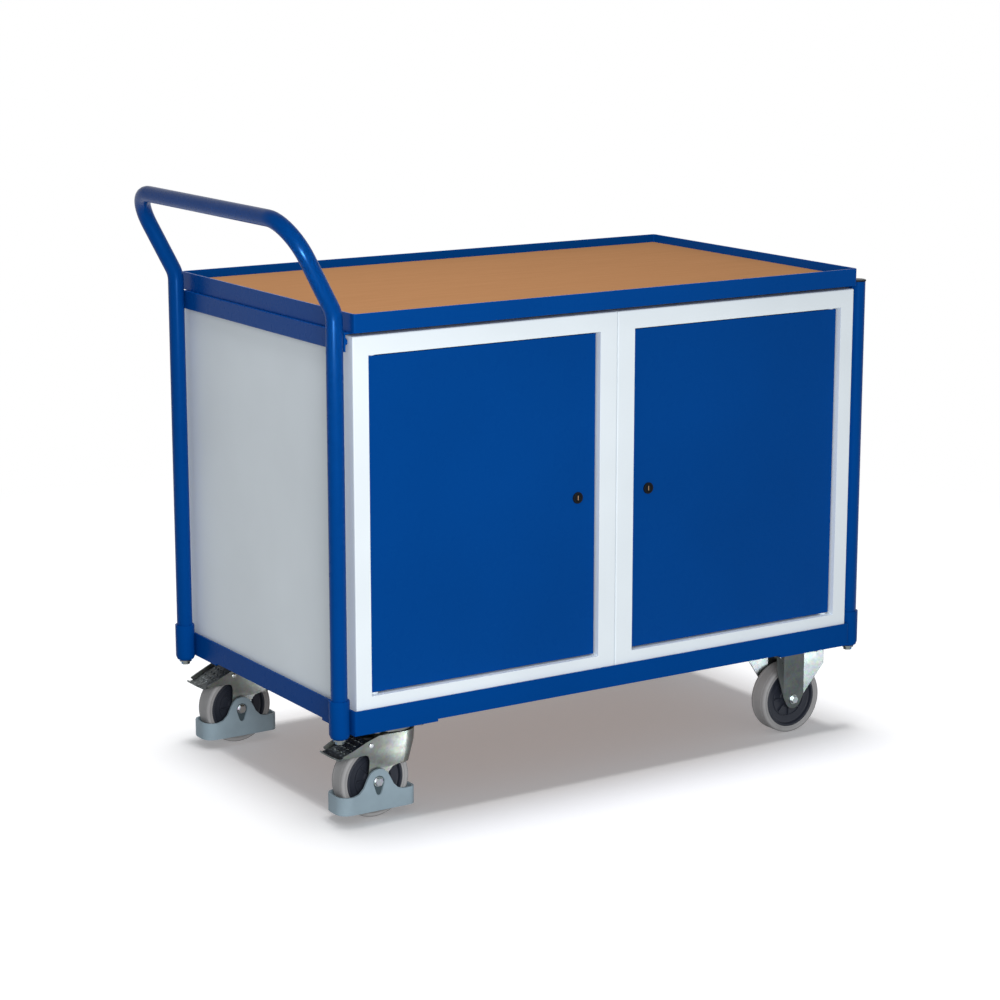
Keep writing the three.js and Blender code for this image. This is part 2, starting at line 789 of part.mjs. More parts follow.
function lockCylinder(side) {
  const [x, z] = [side * lockX, lockHeight];
  const plugBack = lockBack - lockBackWall - clearance;
  const body = joined([
    rod('y', lockPlugRadius, [x, z], lockFace, plugBack, mediumSides),
    rod('y', lockTailRadius, [x, z], lockFace + keySlotDepth, lockBack + lockTailLength, coarseSides),
  ]);
  return body.subtract(block(
    x - keySlotWidth / 2, x + keySlotWidth / 2, lockFace - overrun, lockFace + keySlotDepth,
    z - keySlotHeight / 2, z + keySlotHeight / 2,
  ));
}

// The cam hangs down with the lock open and turns up behind the lip of the cabinet when locked
function lockCam(side) {
  const [x, z] = [side * lockX, lockHeight];
  const half = camWidth / 2;
  const shape = roundedRectangle(x - half, x + half, z - camReach, z + half, half);
  const [face, back] = [lockBack + clearance, lockBack + clearance + camThickness];
  return across(shape, face, back).subtract(
    rod('y', lockTailRadius + clearance, [x, z], face - overrun, back + overrun, coarseSides),
  );
}

// Wheels: turned about Y, with flats at the bottom tangent to the true radius

function wheelProfileRadius(radius) {
  return radius / Math.cos(Math.PI / wheelSides);
}

function hub(place) {
  const rim = wheelRadius - tyreDepth - clearance;
  const bore = sleeveRadius + clearance;
  const half = [
    [bore, -hubBossHalf],
    [hubBossRadius, -hubBossHalf],
    [hubBossRadius, -hubWebHalf],
    [rim - hubRimWall, -hubWebHalf],
    [rim - hubRimWall, -hubRimHalf],
    [rim, -hubRimHalf],
  ];
  const mirrored = half.map(([radius, y]) => [radius, -y]).reverse();
  return turned('y', [...half, ...mirrored, half[0]], place, hubSides, Math.PI / hubSides);
}

function tyre(place) {
  const tread = wheelProfileRadius(wheelRadius);
  const half = [
    [wheelProfileRadius(wheelRadius - tyreDepth), -hubRimHalf],
    [tread - tyreShoulder, -wheelWidth / 2],
    [tread, -wheelWidth / 2 + tyreShoulder],
  ];
  const mirrored = half.map(([radius, y]) => [radius, -y]).reverse();
  return turned('y', [...half, ...mirrored, half[0]], place, wheelSides, Math.PI / wheelSides);
}

function axleSleeve(place) {
  const half = legInner - clearance;
  return pipe('y', sleeveRadius, boltRadius + clearance, place, -half, half, mediumSides);
}

// An axle bolt with its head at -Y and its nut screwed on at +Y, seat being where both bear
function axleBolt([x, z], seat) {
  const face = seat + clearance;
  return joined([
    rod('y', boltHeadRadius, [x, z], -face - boltHeadHeight, -face, hexSides),
    rod('y', boltRadius, [x, z], -face, face + nutHeight + nutThreadProud, coarseSides),
    rod('y', boltHeadRadius, [x, z], face, face + nutHeight, hexSides),
  ]);
}

// Caster plates, in the caster's own frame: its middle at x = y = 0, the floor at z = 0

// The plate with the four bolts that hold it under the bottom frame
function casterPlate() {
  const [halfX, halfY] = [casterPlateLength / 2, casterPlateWidth / 2];
  const outline = roundedRectangle(-halfX, halfX, -halfY, halfY, casterPlateCornerRadius);
  const bolts = corners(casterHoleSpacingX / 2, casterHoleSpacingY / 2).flatMap((place) => [
    rod('z', boltHeadRadius, place, casterPlateBottom - boltHeadHeight, casterPlateBottom, hexSides),
    rod('z', boltRadius, place, casterPlateBottom, baseBottom + angleWall, hexSides),
  ]);
  return joined([raised(outline, casterPlateBottom, casterTop), ...bolts]);
}

// Fixed fork: plate and legs pressed from one sheet. Each leg has a flat middle and wings
// that flare outwards, and tapers to a round end at the axle.

function legPlan(side) {
  const flare = casterPlateWidth / 2 - legOuter;
  const outerLine = [[-legWingHalf, legOuter + flare], [-legFlatHalf, legOuter], [legFlatHalf, legOuter],
    [legWingHalf, legOuter + flare]];
  const innerLine = outerLine.map(([x, y]) => [x, y - forkWall]).reverse();
  return new THREE.Shape([...outerLine, ...innerLine].map(([x, y]) => new THREE.Vector2(x, side * y)));
}

function legSide() {
  const fullWidth = casterPlateBottom - legWingDrop;
  const slope = Math.atan2(fullWidth - axleHeight, legWingHalf);
  const shape = new THREE.Shape();
  shape.moveTo(-legWingHalf, casterPlateBottom);
  shape.lineTo(-legWingHalf, fullWidth);
  shape.absarc(0, axleHeight, legBossRadius, -Math.PI + slope / 2, -slope / 2);
  shape.lineTo(legWingHalf, fullWidth);
  shape.lineTo(legWingHalf, casterPlateBottom);
  return shape;
}

function fixedFork() {
  const legs = [-1, 1].map((side) => raised(legPlan(side), 0, casterPlateBottom));
  const outline = across(legSide(), -casterPlateWidth, casterPlateWidth, arcSegments);
  const bore = rod('y', boltRadius + clearance, [0, axleHeight], -casterPlateWidth, casterPlateWidth,
    coarseSides);
  const body = casterPlate().add(joined(legs).intersect(outline));
  return body.subtract(bore);
}

// Swivel head: a plate with the upper ball race, the balls, and a kingpin

function swivelPlate() {
  const ballTop = forkTop + clearance + 2 * ballRadius + clearance;
  const race = pipe('z', ballCircleRadius + raceHalfWidth, ballCircleRadius - raceHalfWidth, [0, 0],
    ballTop, casterPlateBottom, coarseSides);
  const skirt = pipe('z', raceSkirtRadius, raceSkirtRadius - raceSkirtWall, [0, 0],
    forkTop + raceSkirtGap, casterPlateBottom, hubSides);
  return cut(casterPlate().add(race).add(skirt), [
    rod('z', kingpinRadius + clearance, [0, 0], casterPlateBottom - overrun, casterTop, mediumSides),
    rod('z', kingpinHeadRadius + clearance, [0, 0], casterTop - kingpinHeadHeight - clearance,
      casterTop + overrun, mediumSides),
  ]);
}

// The balls, kept in their places by a thin cage
function ballRing() {
  const height = forkTop + clearance + ballRadius;
  const cage = pipe('z', ballCircleRadius + cageHalfWidth, ballCircleRadius - cageHalfWidth, [0, 0],
    height - cageThickness / 2, height + cageThickness / 2, ballCount);
  const balls = Array.from({ length: ballCount }, (_, i) => {
    const angle = (2 * Math.PI * i) / ballCount;
    const ball = new THREE.IcosahedronGeometry(ballRadius, 0);
    ball.translate(ballCircleRadius * Math.cos(angle), ballCircleRadius * Math.sin(angle), height);
    return toSolid(ball);
  });
  return joined([cage, ...balls]);
}

function kingpin() {
  const nutTop = forkTop - forkWall - clearance;
  const headBottom = casterTop - kingpinHeadHeight;
  return joined([
    rod('z', kingpinHeadRadius, [0, 0], headBottom, casterTop, mediumSides),
    rod('z', kingpinRadius, [0, 0], nutTop - kingpinNutHeight, headBottom, coarseSides),
    rod('z', kingpinNutRadius, [0, 0], nutTop - kingpinNutHeight, nutTop, hexSides),
  ]);
}

// Swivel fork: pressed from one sheet. Its nose is round and runs down in a cone in front of
// the wheel, its sides come in to two legs at the axle, and wings reach back beside the pedal.

const axleX = -swivelOffset;
const noseShape = new THREE.Shape();
noseShape.moveTo(-1, 1);
noseShape.lineTo(-1, -1);
noseShape.absarc(1 - noseRoundShare, noseRoundShare - 1, noseRoundShare, -Math.PI / 2, 0);
noseShape.absarc(1 - noseRoundShare, 1 - noseRoundShare, noseRoundShare, 0, Math.PI / 2);

function forkLevels(inset, tail, top) {
  const low = axleHeight - forkBossRadius - overrun;
  return [
    { z: low - inset, reach: noseKneeReach - inset, half: legOuter - inset, tail },
    { z: axleHeight + kneeRise, reach: noseKneeReach - inset, half: legOuter - inset, tail },
    { z: forkTop - shoulderDrop, reach: noseShoulderReach - inset, half: shoulderHalfWidth - inset, tail },
    { z: top, reach: noseReach - inset, half: headHalfWidth - inset, tail },
  ];
}

// Seen from the side: nose, leg with a round end, wing
function forkSide() {
  const shape = new THREE.Shape();
  const noseBottom = axleHeight + noseRise;
  const back = axleX - wingReach;
  shape.moveTo(noseReach + overrun, forkTop + overrun);
  shape.lineTo(noseReach + overrun, noseBottom);
  shape.lineTo(axleX + noseFootReach, noseBottom);
  shape.quadraticCurveTo(axleX + legFrontPull, noseBottom, axleX + forkBossRadius, axleHeight);
  shape.absarc(axleX, axleHeight, forkBossRadius, 0, -Math.PI, true);
  shape.lineTo(axleX - legBackReach, axleHeight + kneeRise);
  shape.quadraticCurveTo(axleX - legBackReach, axleHeight + wingLowRise,
    axleX - wingRootReach, axleHeight + wingLowRise);
  shape.lineTo(back + wingChamfer, axleHeight + wingLowRise);
  shape.lineTo(back, axleHeight + wingLowRise + wingChamfer);
  shape.lineTo(back, axleHeight + wingTipRise);
  shape.lineTo(axleX - wingApexReach, axleHeight + wingApexRise);
  shape.lineTo(axleX + wingShoulderReach, forkTop + overrun);
  return shape;
}

function swivelFork() {
  const tail = swivelOffset + wingReach + overrun;
  const outside = lofted(noseShape, forkLevels(0, tail, forkTop));
  const inside = lofted(noseShape, forkLevels(forkWall, tail + overrun, forkTop - forkWall));
  const outline = across(forkSide(), -headHalfWidth, headHalfWidth, arcSegments);
  const body = outside.subtract(inside).intersect(outline);
  return cut(body, [
    rod('y', boltRadius + clearance, [axleX, axleHeight], -headHalfWidth, headHalfWidth, coarseSides),
    rod('y', pedalPinRadius + clearance, [pedalPinX, pedalPinHeight], -headHalfWidth - overrun,
      headHalfWidth + overrun, coarseSides),
    rod('z', kingpinRadius + clearance, [0, 0], forkTop - forkWall - overrun, forkTop + overrun,
      mediumSides),
  ]);
}

// Brake pedal: a folded tread between the wings, its end curled up and rounded, with a shoe
// that it presses on the tyre

const pedalPinX = axleX - pedalPinBehind;
const pedalPinHeight = axleHeight + pedalPinRise;

// Half the width over the head of the fork, at a height between its shoulder and its top
function headHalfAt(height) {
  const [low, high] = [forkTop - shoulderDrop, forkTop];
  return THREE.MathUtils.mapLinear(height, low, high, shoulderHalfWidth, headHalfWidth);
}

function pedalPin() {
  const seat = headHalfAt(pedalPinHeight + pedalPinHeadRadius) + clearance;
  const place = [pedalPinX, pedalPinHeight];
  return joined([
    rod('y', pedalPinRadius, place, -seat, seat, coarseSides),
    rod('y', pedalPinHeadRadius, place, -seat - pedalPinHeadHeight, -seat, coarseSides),
    rod('y', pedalPinHeadRadius, place, seat, seat + pedalPinHeadHeight, coarseSides),
  ]);
}

// Height of the top of the tread, before it curls up
function treadHeight(behindPin) {
  return pedalPinHeight + pedalFrontRise - behindPin * Math.tan(pedalSlope);
}

// The sides of the pedal: an ear round the pin, a skirt along the tread, and the curled tip
function pedalSide(drop) {
  const [dip, tip] = [pedalPinX - pedalDipReach, pedalPinX - pedalReach];
  const bend = (dip + tip) / 2;
  const bendBehind = pedalPinX - bend;
  const tipHeight = pedalPinHeight - pedalTipDrop;
  const shape = new THREE.Shape();
  shape.moveTo(pedalPinX, treadHeight(0));
  shape.lineTo(dip, treadHeight(pedalDipReach));
  shape.quadraticCurveTo(bend, treadHeight(bendBehind), tip, tipHeight);
  shape.lineTo(tip, tipHeight - pedalTreadThickness);
  shape.quadraticCurveTo(bend, treadHeight(bendBehind) - pedalTreadThickness,
    dip, treadHeight(pedalDipReach) - pedalTreadThickness);
  shape.lineTo(pedalPinX - pedalEarRadius, treadHeight(pedalEarRadius) - drop);
  return shape;
}

function brakePedal() {
  const half = pedalHalfWidth;
  const inner = half - pedalWall;
  const shoeX = pedalPinX - shoeBehind;
  const shoeHeight = axleHeight + Math.sqrt(
    (wheelRadius + brakeGap + shoeRadius) ** 2 - (axleX - shoeX) ** 2,
  );
  const place = [pedalPinX, pedalPinHeight];
  const tread = across(pedalSide(pedalTreadThickness), -half, half, bendSegments);
  const skirts = [[-half, -inner], [inner, half]].flatMap(([y0, y1]) => [
    across(pedalSide(pedalTreadThickness + pedalSkirtDepth), y0, y1, bendSegments),
    rod('y', pedalEarRadius, place, y0, y1, coarseSides),
  ]);
  const plan = roundedRectangle(pedalPinX - pedalReach, pedalPinX + pedalEarRadius, -half, half,
    pedalTipRadius, pedalWall);
  const outline = raised(plan, axleHeight, forkTop, bendSegments);
  const web = block(shoeX - shoeWebHalf, shoeX + shoeWebHalf, -shoeHalfWidth, shoeHalfWidth,
    shoeHeight, treadHeight(shoeBehind + shoeWebHalf) - pedalTreadThickness / 2);
  const shoe = rod('y', shoeRadius, [shoeX, shoeHeight], -shoeHalfWidth, shoeHalfWidth, coarseSides);
  const bore = rod('y', pedalPinRadius + clearance, place, -half - overrun, half + overrun, coarseSides);
  return cut(joined([joined([tread, ...skirts]).intersect(outline), web, shoe]), [bore]);
}

// Foot guard: a band round the wheel with a hump on each side, which the axle bolt holds

function guardPlan(inset, endInset) {
  const [halfX, halfY] = [guardHalfLength - endInset, legOuter + clearance + guardSideWall - inset];
  return roundedRectangle(axleX - halfX, axleX + halfX, -halfY, halfY,
    guardRearRadius - endInset, guardFrontRadius - endInset);
}

function guardSide() {
  const [left, right] = [axleX - guardHalfLength - overrun, axleX + guardHalfLength + overrun];
  const bandTop = guardGround + guardBandHeight;
  const humpX = guardHumpRadius * Math.cos(guardHumpJoint);
  const humpZ = axleHeight + guardHumpRadius * Math.sin(guardHumpJoint);
  const shape = new THREE.Shape();
  shape.moveTo(left, guardGround);
  shape.lineTo(right, guardGround);
  shape.lineTo(right, bandTop);
  shape.lineTo(axleX + guardFlareReach, bandTop);
  shape.quadraticCurveTo(axleX + guardFlarePull, bandTop, axleX + humpX, humpZ);
  shape.absarc(axleX, axleHeight, guardHumpRadius, guardHumpJoint, Math.PI - guardHumpJoint);
  shape.quadraticCurveTo(axleX - guardFlarePull, bandTop, axleX - guardFlareReach, bandTop);
  shape.lineTo(left, bandTop);
  return shape;
}

// The drop-shaped recess for the head or nut of the axle bolt: two arcs and their tangents
function guardRecess(side) {
  const face = legOuter + clearance + guardSideWall;
  const joint = -Math.asin((guardRecessRadius - guardRecessTailRadius) / guardRecessTail);
  const tail = axleHeight - guardRecessTail;
  const shape = new THREE.Shape();
  shape.absarc(axleX, axleHeight, guardRecessRadius, joint, Math.PI - joint);
  shape.absarc(axleX, tail, guardRecessTailRadius, Math.PI - joint, 2 * Math.PI + joint);
  const [y0, y1] = [face - guardRecessDepth, face + overrun];
  return side < 0 ? across(shape, -y1, -y0, arcSegments) : across(shape, y0, y1, arcSegments);
}

function footGuard() {
  const top = axleHeight + guardHumpRadius + overrun;
  const ring = raised(guardPlan(0, 0), guardGround - overrun, top, bendSegments).subtract(
    raised(guardPlan(guardSideWall, guardEndWall), guardGround - 2 * overrun, top + overrun, bendSegments),
  );
  const reach = legOuter + guardSideWall + overrun;
  return cut(ring.intersect(across(guardSide(), -reach, reach, arcSegments)), [
    guardRecess(-1),
    guardRecess(1),
    rod('y', boltRadius + clearance, [axleX, axleHeight], -reach, reach, coarseSides),
  ]);
}

// Assemblies

function cabinetUnit(name, side) {
  return [
    piece(`${name}_cabinet`, cabinet(side), greyPaint),
    piece(`${name}_shelf`, shelf(side), greyPaint),
    piece(`${name}_hinge_pin_top`, hingePin(side, 1), zinc),
    piece(`${name}_hinge_pin_bottom`, hingePin(side, -1), zinc),
    piece(`${name}_door`, door(side), bluePaint),
    piece(`${name}_lock_housing`, lockHousing(side), blackPlastic),
    piece(`${name}_lock_cylinder`, lockCylinder(side), lockMetal),
    piece(`${name}_lock_cam`, lockCam(side), zinc),
  ];
}

function at(x, y, meshes) {
  const group = new THREE.Group();
  group.position.set(x, y, 0);
  group.add(...meshes);
  return group;
}

function swivelCaster(end, y) {
  const seat = legOuter + clearance + guardSideWall - guardRecessDepth;
  return at(-casterX, y, [
    piece(`swivel_plate_${end}`, swivelPlate(), zinc),
    piece(`kingpin_${end}`, kingpin(), zinc),
    piece(`ball_ring_${end}`, ballRing(), zinc),
    piece(`swivel_fork_${end}`, swivelFork(), zinc),
    piece(`swivel_axle_bolt_${end}`, axleBolt([axleX, axleHeight], seat), zinc),
    piece(`swivel_axle_sleeve_${end}`, axleSleeve([axleX, axleHeight]), zinc),
    piece(`foot_guard_${end}`, footGuard(), guardPlastic),
    piece(`pedal_pin_${end}`, pedalPin(), zinc),
    piece(`brake_pedal_${end}`, brakePedal(), zinc),
    piece(`swivel_hub_${end}`, hub([axleX, axleHeight]), hubPlastic),
    piece(`swivel_tyre_${end}`, tyre([axleX, axleHeight]), tyreRubber),
  ]);
}

function fixedCaster(end, y) {
  return at(casterX, y, [
    piece(`fixed_fork_${end}`, fixedFork(), zinc),
    piece(`fixed_axle_bolt_${end}`, axleBolt([0, axleHeight], legOuter), zinc),
    piece(`fixed_axle_sleeve_${end}`, axleSleeve([0, axleHeight]), zinc),
    piece(`fixed_hub_${end}`, hub([0, axleHeight]), hubPlastic),
    piece(`fixed_tyre_${end}`, tyre([0, axleHeight]), tyreRubber),
  ]);
}

// The whole trolley, moved so that the middle of its box is over the origin

const reachHandle = gripX + tubeRadius;
const reachFar = tubeX + socketRadius;
const trolley = new THREE.Group();
trolley.position.x = (reachHandle - reachFar) / 2;
trolley.add(
  piece('bottom_frame', bottomFrame(), bluePaint),
  piece('bottom_board', bottomBoard(), beech),
  piece('handle_bow', handleBow(), bluePaint),
  piece('far_post_front', farPost(-tubeY), bluePaint),
  piece('far_post_rear', farPost(tubeY), bluePaint),
  piece('post_cap_front', postCap(-tubeY), blackPlastic),
  piece('post_cap_rear', postCap(tubeY), blackPlastic),
  piece('near_cross_rail', crossRail(-1), bluePaint),
  piece('far_cross_rail', crossRail(1), bluePaint),
  piece('deck_frame', deckFrame(), bluePaint),
  piece('deck_board', deckBoard(), beech),
  ...cabinetUnit('left', -1),
  ...cabinetUnit('right', 1),
  swivelCaster('front', -casterY),
  swivelCaster('rear', casterY),
  fixedCaster('front', -casterY),
  fixedCaster('rear', casterY),
);

export default trolley;
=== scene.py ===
"""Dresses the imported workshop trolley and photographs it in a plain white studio."""
import json
import math

import bmesh
import bpy
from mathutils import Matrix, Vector


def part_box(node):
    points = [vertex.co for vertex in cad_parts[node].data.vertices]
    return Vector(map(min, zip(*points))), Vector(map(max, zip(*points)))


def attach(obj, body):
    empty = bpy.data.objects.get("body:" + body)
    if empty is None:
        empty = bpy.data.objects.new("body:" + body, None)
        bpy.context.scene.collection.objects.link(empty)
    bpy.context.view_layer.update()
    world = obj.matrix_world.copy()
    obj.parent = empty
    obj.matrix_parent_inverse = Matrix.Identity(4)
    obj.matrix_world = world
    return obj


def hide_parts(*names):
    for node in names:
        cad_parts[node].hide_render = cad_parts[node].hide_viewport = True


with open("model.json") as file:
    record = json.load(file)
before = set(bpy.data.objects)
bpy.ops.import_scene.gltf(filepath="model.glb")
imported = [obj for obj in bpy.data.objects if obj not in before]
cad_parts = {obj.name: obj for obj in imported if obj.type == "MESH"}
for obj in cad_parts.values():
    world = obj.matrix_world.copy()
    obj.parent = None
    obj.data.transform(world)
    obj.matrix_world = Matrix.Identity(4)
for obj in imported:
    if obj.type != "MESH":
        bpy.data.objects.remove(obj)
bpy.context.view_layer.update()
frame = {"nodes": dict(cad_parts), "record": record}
nodes = frame["nodes"]

MM = 0.001
scene = bpy.context.scene


# Camera, at the photograph's viewing angle

CAMERA_PLACE = Vector((-2.4729, -3.8538, 1.4357))
CAMERA_YAW = math.radians(32.63)
CAMERA_PITCH = math.radians(12.395)
CAMERA_LENS = 96.72
CAMERA_SENSOR = 36.0
CAMERA_NEAR = 0.05
CAMERA_FAR = 100.0


def add_camera():
    data = bpy.data.cameras.new("camera")
    data.lens = CAMERA_LENS
    data.sensor_width = CAMERA_SENSOR
    data.clip_start = CAMERA_NEAR
    data.clip_end = CAMERA_FAR
    camera = bpy.data.objects.new("camera", data)
    scene.collection.objects.link(camera)
    level = math.cos(CAMERA_PITCH)
    forward = Vector((math.sin(CAMERA_YAW) * level, math.cos(CAMERA_YAW) * level, -math.sin(CAMERA_PITCH)))
    camera.location = CAMERA_PLACE
    camera.rotation_euler = forward.to_track_quat("-Z", "Y").to_euler()
    scene.camera = camera


add_camera()
scene.view_settings.view_transform = "Standard"


# Node helpers

def linear(red, green, blue):
    """A colour as a shader wants it, from red, green and blue of 0 to 255."""
    def channel(value):
        share = value / 255
        return share / 12.92 if share <= 0.04045 else ((share + 0.055) / 1.055) ** 2.4
    return (channel(red), channel(green), channel(blue), 1)


def tinted(colour, share):
    """The colour made lighter, or darker with a share below 1."""
    return tuple(min(1, value * share) for value in colour[:3]) + (1,)


WHITE = (1, 1, 1, 1)
DARKNESS = (0, 0, 0, 1)
CLOUD_DARK = 0.3  # of a noise, up to where a clouded colour is dark
CLOUD_LIGHT = 0.7


class Shader:
    """A material's node tree, built node by node round one Principled BSDF."""

    def __init__(self, name, roughness, metallic=0.0):
        self.material = bpy.data.materials.new(name)
        self.material.use_nodes = True
        self.tree = self.material.node_tree
        self.surface = self.tree.nodes["Principled BSDF"]
        self.surface.inputs["Roughness"].default_value = roughness
        self.surface.inputs["Metallic"].default_value = metallic
        self.coordinates = self.add("ShaderNodeTexCoord").outputs["Object"]

    def add(self, kind, **settings):
        node = self.tree.nodes.new(kind)
        for key, value in settings.items():
            setattr(node, key, value)
        return node

    def link(self, output, target):
        self.tree.links.new(output, target)

    def stretched(self, scale):
        mapping = self.add("ShaderNodeMapping")
        mapping.inputs["Scale"].default_value = scale
        self.link(self.coordinates, mapping.inputs["Vector"])
        return mapping.outputs["Vector"]

    def noise(self, scale, detail=2.0, stretch=(1, 1, 1), rough=0.5):
        """A noise of so many waves a metre."""
        node = self.add("ShaderNodeTexNoise")
        node.inputs["Scale"].default_value = scale
        node.inputs["Detail"].default_value = detail
        node.inputs["Roughness"].default_value = rough
        self.link(self.stretched(stretch), node.inputs["Vector"])
        return node.outputs["Fac"]

    def cells(self, scale):
        node = self.add("ShaderNodeTexVoronoi")
        node.inputs["Scale"].default_value = scale
        self.link(self.coordinates, node.inputs["Vector"])
        return node.outputs["Color"]

    def height(self):
        """How high a point lies above the floor."""
        node = self.add("ShaderNodeSeparateXYZ")
        self.link(self.coordinates, node.inputs["Vector"])
        return node.outputs["Z"]

    def combined(self, operation, first, second):
        node = self.add("ShaderNodeMath", operation=operation)
        for socket, value in zip(node.inputs, (first, second)):
            if isinstance(value, (int, float)):
                socket.default_value = value
            else:
                self.link(value, socket)
        return node.outputs[0]

    def ramp(self, factor, stops):
        node = self.add("ShaderNodeValToRGB")
        elements = node.color_ramp.elements
        while len(elements) < len(stops):
            elements.new(0.5)
        for element, (place, colour) in zip(elements, stops):
            element.position = place
            element.color = colour
        self.link(factor, node.inputs["Fac"])
        return node.outputs["Color"]

    def clouded(self, factor, dark, light):
        """A colour that drifts with a noise between a dark and a light tone."""
        return self.ramp(factor, [(CLOUD_DARK, dark), (CLOUD_LIGHT, light)])

    def span(self, factor, low, high, start=0.0, end=1.0, smooth=False):
        """The factor from start to end, mapped to low to high and held there beyond."""
        node = self.add("ShaderNodeMapRange")
        if smooth:
            node.interpolation_type = "SMOOTHSTEP"
        node.inputs["From Min"].default_value = start
        node.inputs["From Max"].default_value = end
        node.inputs["To Min"].default_value = low
        node.inputs["To Max"].default_value = high
        self.link(factor, node.inputs["Value"])
        return node.outputs["Result"]

    def mix(self, factor, first, second, blend="MIX"):
        node = self.add("ShaderNodeMix", data_type="RGBA", blend_type=blend)
        sockets = [s for s in node.inputs if s.type == "RGBA"]
        for socket, colour in zip(sockets, (first, second)):
            if isinstance(colour, tuple):
                socket.default_value = colour
            else:
                self.link(colour, socket)
        if isinstance(factor, float):
            node.inputs["Factor"].default_value = factor
        else:
            self.link(factor, node.inputs["Factor"])
        return next(s for s in node.outputs if s.type == "RGBA")

    def bump(self, height, strength, distance):
        node = self.add("ShaderNodeBump")
        node.inputs["Strength"].default_value = strength
        node.inputs["Distance"].default_value = distance
        self.link(height, node.inputs["Height"])
        self.link(node.outputs["Normal"], self.surface.inputs["Normal"])

    def colour(self, output):
        self.link(output, self.surface.inputs["Base Color"])

    def roughness(self, output):
        self.link(output, self.surface.inputs["Roughness"])

    def specular(self, level, tint=WHITE):
        self.surface.inputs["Specular IOR Level"].default_value = level
        self.surface.inputs["Specular Tint"].default_value = tint


# Materials

SOCKET_FLOOR = 11.2  # from the end of a tube down to the underside of its socket, in mm
FINE_RELIEF = 0.2 * MM
COARSE_RELIEF = 0.3 * MM
SPOT_RELIEF = 0.6 * MM
BLUE = linear(2, 66, 140)
BLUE_SHEEN = linear(90, 170, 255)
PAINT_GLOSS = 0.27
PAINT_LEVEL = 0.07
FRAME_LEVEL = 0.02
GREY_GLOSS = 0.5
GREY_LEVEL = 0.25
CRYSTAL_SHARE = 0.12
PALE_GREY = linear(232, 241, 247)
WOOD = linear(189, 138, 96)
WOOD_DARK = linear(181, 131, 90)
ZINC = linear(116, 121, 118)
# zinc darkened as painted shade, for the shade that the fixed forks mirror; the pedal's tones use it too
DARK_ZINC = linear(84, 90, 90)
BRIGHT_ZINC = linear(205, 212, 214)
BOLT_ZINC = linear(165, 171, 173)
TYRE_GREY = linear(162, 162, 163)
HUB_DARK = linear(40, 44, 54)
GUARD_GREY = linear(145, 164, 175)
BLACK = linear(18, 20, 24)
# painted shade on the floors of the bolt recesses in the foot guards
RECESS_SHADE_GREY = linear(70, 84, 90)
BRONZE = linear(176, 146, 116)


def powder_coat(name, colour, roughness, level, sheen):
    """Baked paint: a fine orange peel, and a tone that drifts a little over the sheet."""
    paint = Shader(name, roughness)
    drift = paint.noise(scale=3.5, detail=3.0)
    peel = paint.noise(scale=520)
    rubbing = paint.noise(scale=40, detail=3.0)
    tone = paint.clouded(drift, tinted(colour, share=0.95), tinted(colour, share=1.04))
    paint.bump(peel, strength=0.1, distance=COARSE_RELIEF)
    paint.roughness(paint.span(rubbing, low=roughness - 0.05, high=roughness + 0.07))
    paint.specular(level, sheen)
    paint.colour(tone)
    return paint, tone


def frame_paint():
    """Blue paint, and below the sockets the bare zinc of the bolts that hold the tubes."""
    low = max(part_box("handle_bow")[0].z - SOCKET_FLOOR * MM, 0)
    paint, tone = powder_coat("blue_frame_paint", BLUE, PAINT_GLOSS, FRAME_LEVEL, BLUE_SHEEN)
    bare = paint.combined("LESS_THAN", paint.height(), low)
    paint.colour(paint.mix(bare, tone, ZINC))
    paint.link(bare, paint.surface.inputs["Metallic"])
    return paint.material


def wood_board():
    """Printed wood grain under a clear film, running the length of the platform."""
    wood = Shader("wood_board", roughness=0.45)
    streak = wood.noise(scale=14, detail=6.0, stretch=(0.6, 9, 9), rough=0.65)
    pore = wood.noise(scale=160, detail=3.0, stretch=(0.25, 5, 5), rough=0.6)
    base = wood.clouded(streak, WOOD_DARK, WOOD)
    wood.colour(wood.mix(wood.span(pore, low=0.0, high=0.16), base, tinted(WOOD_DARK, share=0.85)))
    wood.bump(pore, strength=0.06, distance=COARSE_RELIEF)
    wood.roughness(wood.span(streak, low=0.4, high=0.52))
    wood.specular(level=0.0)
    return wood.material


def zinc_plate(name, colour, roughness):
    """Zinc plating: small crystals in the tone, faint rubbing in the gloss."""
    zinc = Shader(name, roughness, metallic=1.0)
    cloud = zinc.noise(scale=55, detail=4.0)
    rubbing = zinc.noise(scale=90, detail=3.0)
    tone = zinc.clouded(cloud, tinted(colour, share=0.84), tinted(colour, share=1.08))
    zinc.colour(zinc.mix(CRYSTAL_SHARE, tone, zinc.cells(scale=260), "SOFT_LIGHT"))
    zinc.roughness(zinc.span(rubbing, low=roughness - 0.08, high=roughness + 0.12))
    zinc.bump(zinc.noise(scale=420), strength=0.1, distance=FINE_RELIEF)
    return zinc.material


def glint_mottled_zinc():
    """The pedal's zinc: dark and mottled, with bright spots that are painted glints."""
    zinc = Shader("glint_mottled_zinc", roughness=0.4, metallic=1.0)
    spots = zinc.noise(scale=150, detail=3.0, rough=0.6)
    dark = tinted(DARK_ZINC, share=0.45)
    zinc.colour(zinc.ramp(spots, [(0.35, dark), (0.55, DARK_ZINC), (0.75, BOLT_ZINC)]))
    zinc.bump(spots, strength=0.3, distance=SPOT_RELIEF)
    return zinc.material


def moulded(name, colour, roughness, grain=0.15, level=0.3):
    """Moulded plastic or rubber with a fine eroded grain."""
    plastic = Shader(name, roughness)
    cloud = plastic.noise(scale=30, detail=3.0)
    rubbing = plastic.noise(scale=120)
    plastic.colour(plastic.clouded(cloud, tinted(colour, share=0.93), tinted(colour, share=1.06)))
    plastic.bump(plastic.noise(scale=900), strength=grain, distance=FINE_RELIEF)
    plastic.roughness(plastic.span(rubbing, low=roughness - 0.05, high=roughness + 0.08))
    plastic.specular(level)
    return plastic.material


